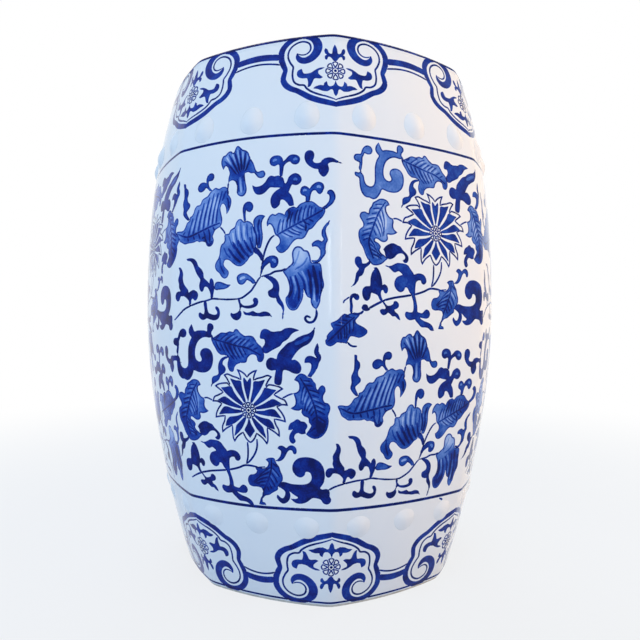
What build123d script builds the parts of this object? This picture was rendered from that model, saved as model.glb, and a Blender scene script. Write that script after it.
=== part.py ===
from build123d import *
import math
import os

# Barrel, in millimetres: half widths are measured across two facing panels
stool_height = 460.0
side_count = 8
rim_half_width = 153.0
belly_half_width = 178.5
foot_half_width = 137.0
belly_height = 246.0
shoulder_fullness = 2.4
base_fullness = 1.8
bow_centre_depth = 125.0
corner_radius = 25.0
wall_thickness = 8.0

# Seat slab, let into the top of the wall
seat_thickness = 7.0
seat_edge_radius = 3.0
seat_plug_depth = 6.0

# Base ring, let into the bottom of the wall, with the bare foot under it
foot_height = 3.0
foot_inset = 1.5
base_step_height = 10.0
base_opening_half_width = 104.0

# Room left for slip wherever a piece drops inside the wall
luting_clearance = 0.3

# Coil of clay pressed into each inside corner
coil_radius = 9.0

# Rows of low round bosses, laid out from the painted border lines
upper_line_height = 372.0
lower_line_height = 87.0
boss_line_offset = 15.0
boss_diameter = 19.0
boss_rise = 3.5
bosses_per_panel = 3

half_turn = math.pi / side_count
side_turn_deg = 360.0 / side_count
wall_bottom = foot_height
wall_top = stool_height - seat_thickness
profile_steps = 14
overshoot = 20.0


def half_width(height):
    """Half width across the panels at a height, for the glazed outside."""
    if height >= belly_height:
        share = (height - belly_height) / (stool_height - belly_height)
        return belly_half_width - (belly_half_width - rim_half_width) * share**shoulder_fullness
    share = (belly_height - height) / belly_height
    return belly_half_width - (belly_half_width - foot_half_width) * share**base_fullness


def corner_reach(height, inset):
    """Distance from the axis to the sharp corner between two bowed panels."""
    bow_radius = half_width(height) - inset + bow_centre_depth
    across = bow_centre_depth * math.sin(half_turn)
    return math.sqrt(bow_radius**2 - across**2) - bow_centre_depth * math.cos(half_turn)


def side_angle(index):
    """Direction that a panel faces, in degrees, with a corner on -Y before panel 0."""
    return -90.0 + side_turn_deg * (index + 0.5)


def corner_angle(index):
    """Direction of the corner before a panel, in degrees."""
    return side_angle(index) - side_turn_deg / 2


def bowed_solid(inset):
    """Solid of revolution whose skin is one panel's bowed face."""
    heights = [stool_height * step / profile_steps for step in range(profile_steps + 1)]
    skin = [(half_width(height) - inset + bow_centre_depth, height) for height in heights]
    with BuildPart() as solid:
        with BuildSketch(Plane.XZ):
            with BuildLine():
                Spline(*skin)
                Polyline(skin[-1], (0, stool_height), (0, 0), skin[0])
            make_face()
        revolve(axis=Axis.Z)
    return solid.part.moved(Location((-bow_centre_depth, 0, 0)))


def barrel_solid(inset):
    """Eight bowed faces closed on each other, with sharp corners."""
    bowed = bowed_solid(inset)
    barrel = bowed.rotate(Axis.Z, side_angle(0))
    for index in range(1, side_count):
        barrel = barrel & bowed.rotate(Axis.Z, side_angle(index))
    return barrel


def slice_between(low, high):
    """Block wider than the stool, between two heights."""
    reach = 4.0 * belly_half_width
    return Pos(0, 0, (low + high) / 2) * Box(reach, reach, high - low)


def upright_edges(solid):
    """Edges that run the whole height of a barrel."""
    return solid.edges().filter_by(lambda edge: edge.bounding_box().size.Z > stool_height / 2)


def octagon_prism(half_across, low, high):
    """Straight eight-sided block, turned as the wall is."""
    with BuildPart() as prism:
        with BuildSketch(Plane.XY.offset(low)):
            RegularPolygon(half_across, side_count, major_radius=False, rotation=corner_angle(0))
        extrude(amount=high - low)
    return prism.part


def panel_wedge():
    """Sector that holds one panel, cut at the mitre planes through its corners."""
    reach = 3.0 * belly_half_width
    spread = reach * math.tan(half_turn)
    with BuildPart() as wedge:
        with BuildSketch(Plane.XY):
            with BuildLine():
                Polyline((0, 0), (reach, -spread), (reach, spread), close=True)
            make_face()
        extrude(amount=stool_height)
    return wedge.part.rotate(Axis.Z, side_angle(0))


def seam_coil(lining):
    """Bead that follows one inside corner, cut flush to the two panels it backs."""
    low = wall_bottom + base_step_height
    high = wall_top - seat_plug_depth
    start = low - overshoot
    rise = high - low + 2 * overshoot
    path = []
    for step in range(profile_steps + 1):
        height = start + rise * step / profile_steps
        path.append((corner_reach(max(height, 0.0), wall_thickness), height))
    with BuildPart() as bead:
        with BuildLine(Plane.XZ):
            spine = Spline(*path)
        with BuildSketch(Plane(origin=spine @ 0, z_dir=spine % 0)):
            Circle(coil_radius)
        sweep()
    turned = bead.part.rotate(Axis.Z, corner_angle(0))
    return turned & lining & slice_between(low, high)


def panel_bosses(height, barrel):
    """Low domes spaced along one panel, each cut to sit on the wall."""
    dome_radius = ((boss_diameter / 2) ** 2 + boss_rise**2) / (2 * boss_rise)
    bow_radius = half_width(height) + bow_centre_depth
    half_spread = math.asin(corner_reach(height, 0.0) * math.sin(half_turn) / bow_radius)
    lean = math.atan2(half_width(height + boss_rise) - half_width(height - boss_rise), 2 * boss_rise)
    sunk = dome_radius - boss_rise
    out = bow_radius - sunk * math.cos(lean)
    centre_height = height + sunk * math.sin(lean)
    domes = []
    for index in range(bosses_per_panel):
        turn = half_spread * (2 * index + 1 - bosses_per_panel) / bosses_per_panel
        across = out * math.sin(turn)
        forward = out * math.cos(turn) - bow_centre_depth
        dome = Pos(forward, across, centre_height) * Sphere(dome_radius)
        dome = dome.rotate(Axis.Z, side_angle(0))
        domes.append(dome - barrel)
    return domes


def boss_row(height, barrel):
    """One row of bosses right round the stool."""
    first = panel_bosses(height, barrel)
    row = []
    for index in range(side_count):
        row += [dome.rotate(Axis.Z, side_turn_deg * index) for dome in first]
    return Compound(children=[solid for dome in row for solid in dome.solids()])


sharp_barrel = barrel_solid(0.0)
barrel = fillet(upright_edges(sharp_barrel), corner_radius)
lining = barrel_solid(wall_thickness)
lining_clear = barrel_solid(wall_thickness + luting_clearance)

wall = (barrel - lining) & slice_between(wall_bottom, wall_top)
wall_panel = wall & panel_wedge()

seat_top = barrel & slice_between(wall_top, stool_height)
seat_top = fillet(seat_top.faces().sort_by(Axis.Z)[-1].edges(), seat_edge_radius)
seat_slab = seat_top + (lining_clear & slice_between(wall_top - seat_plug_depth, wall_top))

foot = barrel_solid(foot_inset)
foot = fillet(upright_edges(foot), corner_radius - foot_inset) & slice_between(0.0, foot_height)
base_step = lining_clear & slice_between(wall_bottom, wall_bottom + base_step_height)
base_ring = foot + base_step
base_ring -= octagon_prism(base_opening_half_width, -overshoot, wall_bottom + base_step_height + overshoot)

first_coil = seam_coil(lining)

nodes = {
    "seat_slab": seat_slab,
    "base_ring": base_ring,
    "upper_boss_row": boss_row(upper_line_height + boss_line_offset, barrel),
    "lower_boss_row": boss_row(lower_line_height - boss_line_offset, barrel),
}
for index in range(side_count):
    nodes[f"wall_panel_{index + 1}"] = wall_panel.rotate(Axis.Z, side_turn_deg * index)
    nodes[f"seam_coil_{index + 1}"] = first_coil.rotate(Axis.Z, side_turn_deg * index)

os.makedirs("parts", exist_ok=True)
for name, shape in nodes.items():
    export_step(shape, f"parts/{name}.step")
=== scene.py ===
import math

import bpy
import numpy as np
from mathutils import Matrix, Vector
from mathutils.geometry import delaunay_2d_cdt


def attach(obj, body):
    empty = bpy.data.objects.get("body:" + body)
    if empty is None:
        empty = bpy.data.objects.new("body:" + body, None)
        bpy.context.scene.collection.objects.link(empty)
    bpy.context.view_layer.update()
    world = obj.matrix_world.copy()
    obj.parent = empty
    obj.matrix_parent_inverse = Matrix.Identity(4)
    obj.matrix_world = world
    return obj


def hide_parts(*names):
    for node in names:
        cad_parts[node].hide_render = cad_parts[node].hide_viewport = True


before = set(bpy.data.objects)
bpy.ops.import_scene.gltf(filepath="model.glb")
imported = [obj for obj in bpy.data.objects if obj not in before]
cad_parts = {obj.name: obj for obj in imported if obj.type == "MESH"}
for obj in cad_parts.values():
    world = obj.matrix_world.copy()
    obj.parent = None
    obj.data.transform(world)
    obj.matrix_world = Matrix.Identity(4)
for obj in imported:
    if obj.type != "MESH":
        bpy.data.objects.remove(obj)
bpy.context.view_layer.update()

# Base ring and seam coils: the ring let into the bottom of the wall, whose bare edge is the foot, and the
# coils of clay pressed into the inside corners. They are unglazed biscuit, joined to the wall with slip.
# Their shape is right in the solids, so those stay and only get the clay.


def new_finish(name):
    """Empty material with its node tree and shader."""
    finish = bpy.data.materials.new(name)
    finish.use_nodes = True
    tree = finish.node_tree
    return finish, tree, tree.nodes["Principled BSDF"]


def add_noise(tree, scale, detail, roughness=0.5):
    """Noise that is fixed to the stool, with its size given per metre."""
    place = tree.nodes.new("ShaderNodeTexCoord")
    noise = tree.nodes.new("ShaderNodeTexNoise")
    noise.inputs["Scale"].default_value = scale
    noise.inputs["Detail"].default_value = detail
    noise.inputs["Roughness"].default_value = roughness
    tree.links.new(place.outputs["Object"], noise.inputs["Vector"])
    return noise.outputs["Fac"]


def add_ramp(tree, value, stops):
    """Colour ramp through (place, colour) stops."""
    ramp = tree.nodes.new("ShaderNodeValToRGB")
    marks = ramp.color_ramp.elements
    while len(marks) < len(stops):
        marks.new(1.0)
    for mark, (place, colour) in zip(marks, stops):
        mark.position = place
        mark.color = (*colour, 1.0)
    tree.links.new(value, ramp.inputs["Fac"])
    return ramp.outputs["Color"]


def add_bump(tree, shader, height, strength, depth):
    """Unevenness of the surface, with its depth in metres."""
    bump = tree.nodes.new("ShaderNodeBump")
    bump.inputs["Strength"].default_value = strength
    bump.inputs["Distance"].default_value = depth
    tree.links.new(height, bump.inputs["Height"])
    tree.links.new(bump.outputs["Normal"], shader.inputs["Normal"])


biscuit, biscuit_tree, biscuit_shader = new_finish("bare_biscuit")
biscuit_tree.links.new(
    add_ramp(biscuit_tree, add_noise(biscuit_tree, 160.0, 6.0, 0.65), [
        (0.3, (0.46, 0.44, 0.41)), (0.5, (0.62, 0.6, 0.57)), (0.72, (0.71, 0.69, 0.66)),
    ]),
    biscuit_shader.inputs["Base Color"],
)
biscuit_shader.inputs["Roughness"].default_value = 0.82
add_bump(biscuit_tree, biscuit_shader, add_noise(biscuit_tree, 900.0, 4.0, 0.7), 0.5, 0.0004)

bare_nodes = ["base_ring"] + [f"seam_coil_{number}" for number in range(1, 9)]
for node in bare_nodes:
    bare_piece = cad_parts[node]
    bare_piece.data.materials.clear()
    bare_piece.data.materials.append(biscuit)

# Wall panels: eight press-moulded slabs, bowed up and down and from side to side and mitred at the corners,
# painted in cobalt blue and covered with a clear glaze. Each is one closed shell whose outside is cut along
# every brush line, so the painting is in the surface itself.
stool_height = 460.0
belly_height = 246.0
rim_half_width = 153.0
belly_half_width = 178.5
foot_half_width = 137.0
shoulder_fullness = 2.4
base_fullness = 1.8
bow_centre_depth = 125.0
corner_radius = 25.0
wall_thickness = 8.0
wall_bottom = 3.0
wall_top = 453.0
panel_count = 8
half_turn = math.pi / panel_count
panel_edge = 68.0
millimetre = 0.001


def half_width(height):
    """Half width across the panels at a height, and how fast it grows with height."""
    above = np.clip((height - belly_height) / (stool_height - belly_height), 0.0, None)
    below = np.clip((belly_height - height) / belly_height, 0.0, None)
    upper = belly_half_width - rim_half_width
    lower = belly_half_width - foot_half_width
    reach = belly_half_width - upper * above**shoulder_fullness - lower * below**base_fullness
    grows = lower * base_fullness * below ** (base_fullness - 1) / belly_height
    shrinks = upper * shoulder_fullness * above ** (shoulder_fullness - 1) / (stool_height - belly_height)
    return reach, grows - shrinks


def corner_turn(reach):
    """Where the bow of a panel gives way to its rounded corner."""
    bow_radius = reach + bow_centre_depth
    eye_radius = bow_radius - corner_radius
    across = bow_centre_depth * math.sin(half_turn)
    eye = np.sqrt(eye_radius**2 - across**2) - bow_centre_depth * math.cos(half_turn)
    return bow_radius, eye_radius, eye, np.arcsin(eye * math.sin(half_turn) / eye_radius)


def half_girth(height):
    """Length along the glaze from the middle of a panel to its corner."""
    bow_radius, _, _, turn = corner_turn(half_width(height)[0])
    return bow_radius * turn + corner_radius * (half_turn - turn)


def on_skin(sheet):
    """Places and outward directions on panel's skin of points (across, up) on the flat sheet."""
    across, up = sheet[:, 0], sheet[:, 1]
    reach, growth = half_width(up)
    bow_radius, eye_radius, eye, turn = corner_turn(reach)
    along = np.abs(across) / panel_edge * half_girth(up)
    on_bow = along <= bow_radius * turn
    angle = np.where(on_bow, along / bow_radius, turn + (along - bow_radius * turn) / corner_radius)
    bow_out = bow_radius * np.cos(angle) - bow_centre_depth
    out = np.where(on_bow, bow_out, eye * math.cos(half_turn) + corner_radius * np.cos(angle))
    corner_side = eye * math.sin(half_turn) + corner_radius * np.sin(angle)
    side = np.where(on_bow, bow_radius * np.sin(angle), corner_side)
    eye_growth = growth * eye_radius / (eye + bow_centre_depth * math.cos(half_turn))
    lean = np.where(on_bow, growth, eye_growth * np.cos(half_turn - angle))
    mirror = np.sign(across)
    places = np.stack([out, side * mirror, up], axis=1)
    facing = np.stack([np.cos(angle), np.sin(angle) * mirror, -lean], axis=1)
    return places, facing / np.linalg.norm(facing, axis=1)[:, None]


def on_lining(sheet, inset):
    """Places on the inside of the wall, whose corners are sharp."""
    across, up = sheet[:, 0], sheet[:, 1]
    bow_radius = half_width(up)[0] - inset + bow_centre_depth
    offset = bow_centre_depth * math.sin(half_turn)
    reach = np.sqrt(bow_radius**2 - offset**2) - bow_centre_depth * math.cos(half_turn)
    angle = np.arcsin(reach * math.sin(half_turn) / bow_radius) * across / panel_edge
    out = bow_radius * np.cos(angle) - bow_centre_depth
    return np.stack([out, bow_radius * np.sin(angle), up], axis=1)


def round_stool(local, index):
    """Turns places or directions from a panel's own axes to where that panel stands."""
    facing = -math.pi / 2 + 2 * half_turn * (index + 0.5)
    cosine, sine = math.cos(facing), math.sin(facing)
    out, side = local[:, 0], local[:, 1]
    return np.stack([out * cosine - side * sine, out * sine + side * cosine, local[:, 2]], axis=1)


# The brush. A painted layer is a tone of cobalt from 0, white, to 1, navy, with its outline on the flat sheet
# in millimetres across from the panel's middle and up from the floor, and its kind. A line or a wash sets its
# tone, a vein adds to the wash under it, and a bleed is the edge to which the colour of the next line runs. A
# pool is the middle and the reach of a place where the last wash lies thicker or thinner.
bleed_width = 0.4
drawn_step = 1.3


def smooth_line(spots, sharp, closed):
    """Smooth line through spots, broken where a spot is sharp."""
    count = len(spots)
    line = []
    for index in range(count if closed else count - 1):
        ahead = (index + 1) % count
        start, end = spots[index], spots[ahead]
        starts = sharp[index] or (not closed and index == 0)
        stops = sharp[ahead] or (not closed and ahead == count - 1)
        before = 2 * start - end if starts else spots[index - 1]
        after = 2 * end - start if stops else spots[(index + 2) % count]
        bend = 2 * before - 5 * start + 4 * end - after
        twist = 3 * start - before - 3 * end + after
        pieces = max(2, round(np.linalg.norm(end - start) / drawn_step))
        for piece in range(pieces):
            t = piece / pieces
            line.append(start + 0.5 * t * (end - before + t * (bend + t * twist)))
    if not closed:
        line.append(spots[-1])
    return np.array(line)


def drawn(points, closed):
    """Smooth line through drawn points; a third value marks a sharp turn."""
    spots = [np.array(point[:2], float) for point in points]
    return smooth_line(spots, [len(point) > 2 for point in points], closed)


def sideways(line, closed):
    """Unit steps to the left of a line."""
    if closed:
        along = np.roll(line, -1, axis=0) - np.roll(line, 1, axis=0)
    else:
        along = np.gradient(line, axis=0)
    along /= np.maximum(np.linalg.norm(along, axis=1), 1e-9)[:, None]
    return np.stack([-along[:, 1], along[:, 0]], axis=1)


def turns_round(line, spots):
    """How many times an outline goes round each spot."""
    turns = np.zeros(len(spots), int)
    for start, end in zip(np.roll(line, 1, axis=0), line):
        run, rise = end - start
        left = run * (spots[:, 1] - start[1]) - rise * (spots[:, 0] - start[0])
        turns += (start[1] <= spots[:, 1]) & (end[1] > spots[:, 1]) & (left > 0)
        turns -= (start[1] > spots[:, 1]) & (end[1] <= spots[:, 1]) & (left < 0)
    return turns


def pulled(tone, line, half, kind):
    """Outline of a pull of the brush along a line, after the bleed round it."""
    side = sideways(line, False)
    layers = []
    for reach, use in ((half + bleed_width, "bleed"), (half, kind)):
        edge = side * reach[:, None]
        layers.append((tone, np.concatenate([line - edge, (line + edge)[::-1]]), use))
    return layers


def stroke(tone, width, points, kind="line"):
    """One pull of the brush, thinner at its ends."""
    line = drawn(points, False)
    along = np.linspace(0.0, 1.0, len(line))
    taper = np.minimum(1.0, 0.45 + 4 * np.minimum(along, 1 - along))
    return pulled(tone, line, (width / 2 - 0.1) * taper, kind)


def vein(depth, width, points):
    """Pull of the brush that makes the wash under it deeper or, below zero, paler."""
    return stroke(depth, width, points, "vein")


def combed(depth, width, pulls):
    """Veins side by side, each pulled from one point to another."""
    return [layer for pull in pulls for layer in vein(depth, width, pull)]


def band(tone, points, fullness=1.0):
    """Broad pull of the brush, with its width as the third value of each point."""
    spots = [np.array(point, float) for point in points]
    line = smooth_line(spots, [False] * len(spots), False)
    return pulled(tone, line[:, :2], np.maximum(line[:, 2] * fullness / 2 - 0.15, 0.1), "line")


rib_depth = 0.34
side_vein_depth = 0.28
streak_depth = -0.13
longest_vein = 30.0


def veins(edge, rib, pairs, lean):
    """Midrib of a leaf with dark side veins to both its edges, and the paler streaks between them."""
    line = drawn(rib, False)
    layers = vein(rib_depth, 1.2, rib)
    reaches = np.arange(1.0, longest_vein)
    for step in range(2 * pairs):
        place = round((step + 1) / (2 * pairs + 1) * (len(line) - 1))
        along = line[min(place + 1, len(line) - 1)] - line[max(place - 1, 0)]
        heading = math.atan2(along[1], along[0])
        for turn in (lean, -lean):
            angles = heading + turn * (1 - 0.015 * reaches)
            spots = line[place] + reaches[:, None] * np.stack([np.cos(angles), np.sin(angles)], axis=1)
            outside = np.flatnonzero(turns_round(edge, spots) == 0)
            to_edge = outside[0] if len(outside) else len(spots)
            pale = step % 2
            length = int(to_edge * (0.7 if pale else 0.9))
            if length > 4:
                points = [spots[0], spots[length // 2], spots[length - 1]]
                layers += vein(streak_depth, 1.2, points) if pale else vein(side_vein_depth, 1.0, points)
    return layers


outline_deepening = 0.46
deepest_outline = 0.95
white_outline = 0.9


def leaf(wash, points, edge_width=1.0, rib=None, pairs=6, lean=1.0, pools=()):
    """Shape with a darker outline that bleeds, a wash inside it, pools in the wash and veins."""
    edge = min(wash + outline_deepening, deepest_outline) if wash else white_outline
    line = drawn(points, True)
    after = np.roll(line, -1, axis=0)
    if np.sum(line[:, 0] * after[:, 1] - after[:, 0] * line[:, 1]) < 0:
        line = line[::-1]
    inward = sideways(line, True)
    inner = line + inward * edge_width
    layers = [(edge, line - inward * bleed_width, "bleed"), (edge, line, "line"), (wash, inner, "wash")]
    for across, up, reach, depth in pools:
        layers.append((depth, np.array([(across, up), (across + reach, up)]), "pool"))
    return layers + veins(inner, rib, pairs, lean) if rib else layers


def mirrored(layers, middle=0.0):
    """Layers with their copies on the other side of an upright line."""
    flip = np.array([-1.0, 1.0])
    copies = [(tone, (line * flip + (2 * middle, 0.0))[::-1], kind) for tone, line, kind in layers]
    return layers + copies


def both_halves(half, middle=0.0):
    """Points of an outline that is the same on both sides of an upright line, from one half of it."""
    return half + [(2 * middle - point[0], *point[1:]) for point in half[-2:0:-1]]


def shifted(layers, across, up=0.0):
    """Layers moved on the sheet."""
    return [(tone, line + (across, up), kind) for tone, line, kind in layers]


# Lotus spray: the open flower with its scrolls and leaves. It fills the lower half of every other panel
# and, a little turned, the upper half of the panels between. The great scroll at its top left is paler on
# some panels than on others.
great_scroll = [
    (-48, 229.3, 1), (-46.8, 226.5), (-45.2, 223.5), (-42, 224.2), (-36, 224.3), (-33, 223.6),
    (-32.8, 226.5), (-32, 229.3), (-29.8, 230), (-27.5, 228.5), (-27.3, 226), (-29, 223.8),
    (-29.3, 221.5), (-27.5, 219.3), (-31, 219), (-35, 219.5), (-39, 218.3), (-43, 214.8),
    (-45.3, 209), (-45.6, 204), (-44.5, 201), (-42, 199.5), (-40, 199.8), (-39, 201), (-39, 202.5),
    (-40.2, 205), (-39.8, 207.5), (-38, 209.5), (-35, 210.4), (-31.5, 209.6), (-29.3, 207),
    (-28.5, 203.5), (-29, 199), (-30.8, 195), (-34, 192.3), (-38, 191.2), (-43, 191.5),
    (-47.3, 192.6), (-49.3, 189), (-52, 185.5), (-55, 184.2), (-58, 185.2), (-60.5, 185.3),
    (-63, 187.3), (-64.5, 191), (-65, 196), (-65.2, 199.5), (-68, 201.2), (-68, 203.7),
    (-65.5, 203.3), (-64, 204.5), (-64.8, 207), (-64, 211), (-65, 212), (-67.5, 213), (-68.3, 215.2),
    (-67, 217.5), (-64.8, 218), (-62.8, 218.3), (-61.5, 221.5), (-60, 224), (-57.5, 225.6),
    (-54.8, 225), (-53.5, 222.5), (-54.6, 219.6), (-57.5, 218.8), (-59.8, 219.5), (-60.6, 218),
    (-61.8, 215.5), (-62, 212), (-62.8, 208), (-63.3, 204), (-61.8, 201.5), (-61.2, 197.5),
    (-60, 194.8), (-57, 193.5), (-54.3, 194.5), (-52.8, 198), (-52.4, 204), (-51.9, 210),
    (-50.3, 215), (-48.2, 218.7), (-49.6, 220.5), (-50.8, 223), (-50.3, 226),
]
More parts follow.
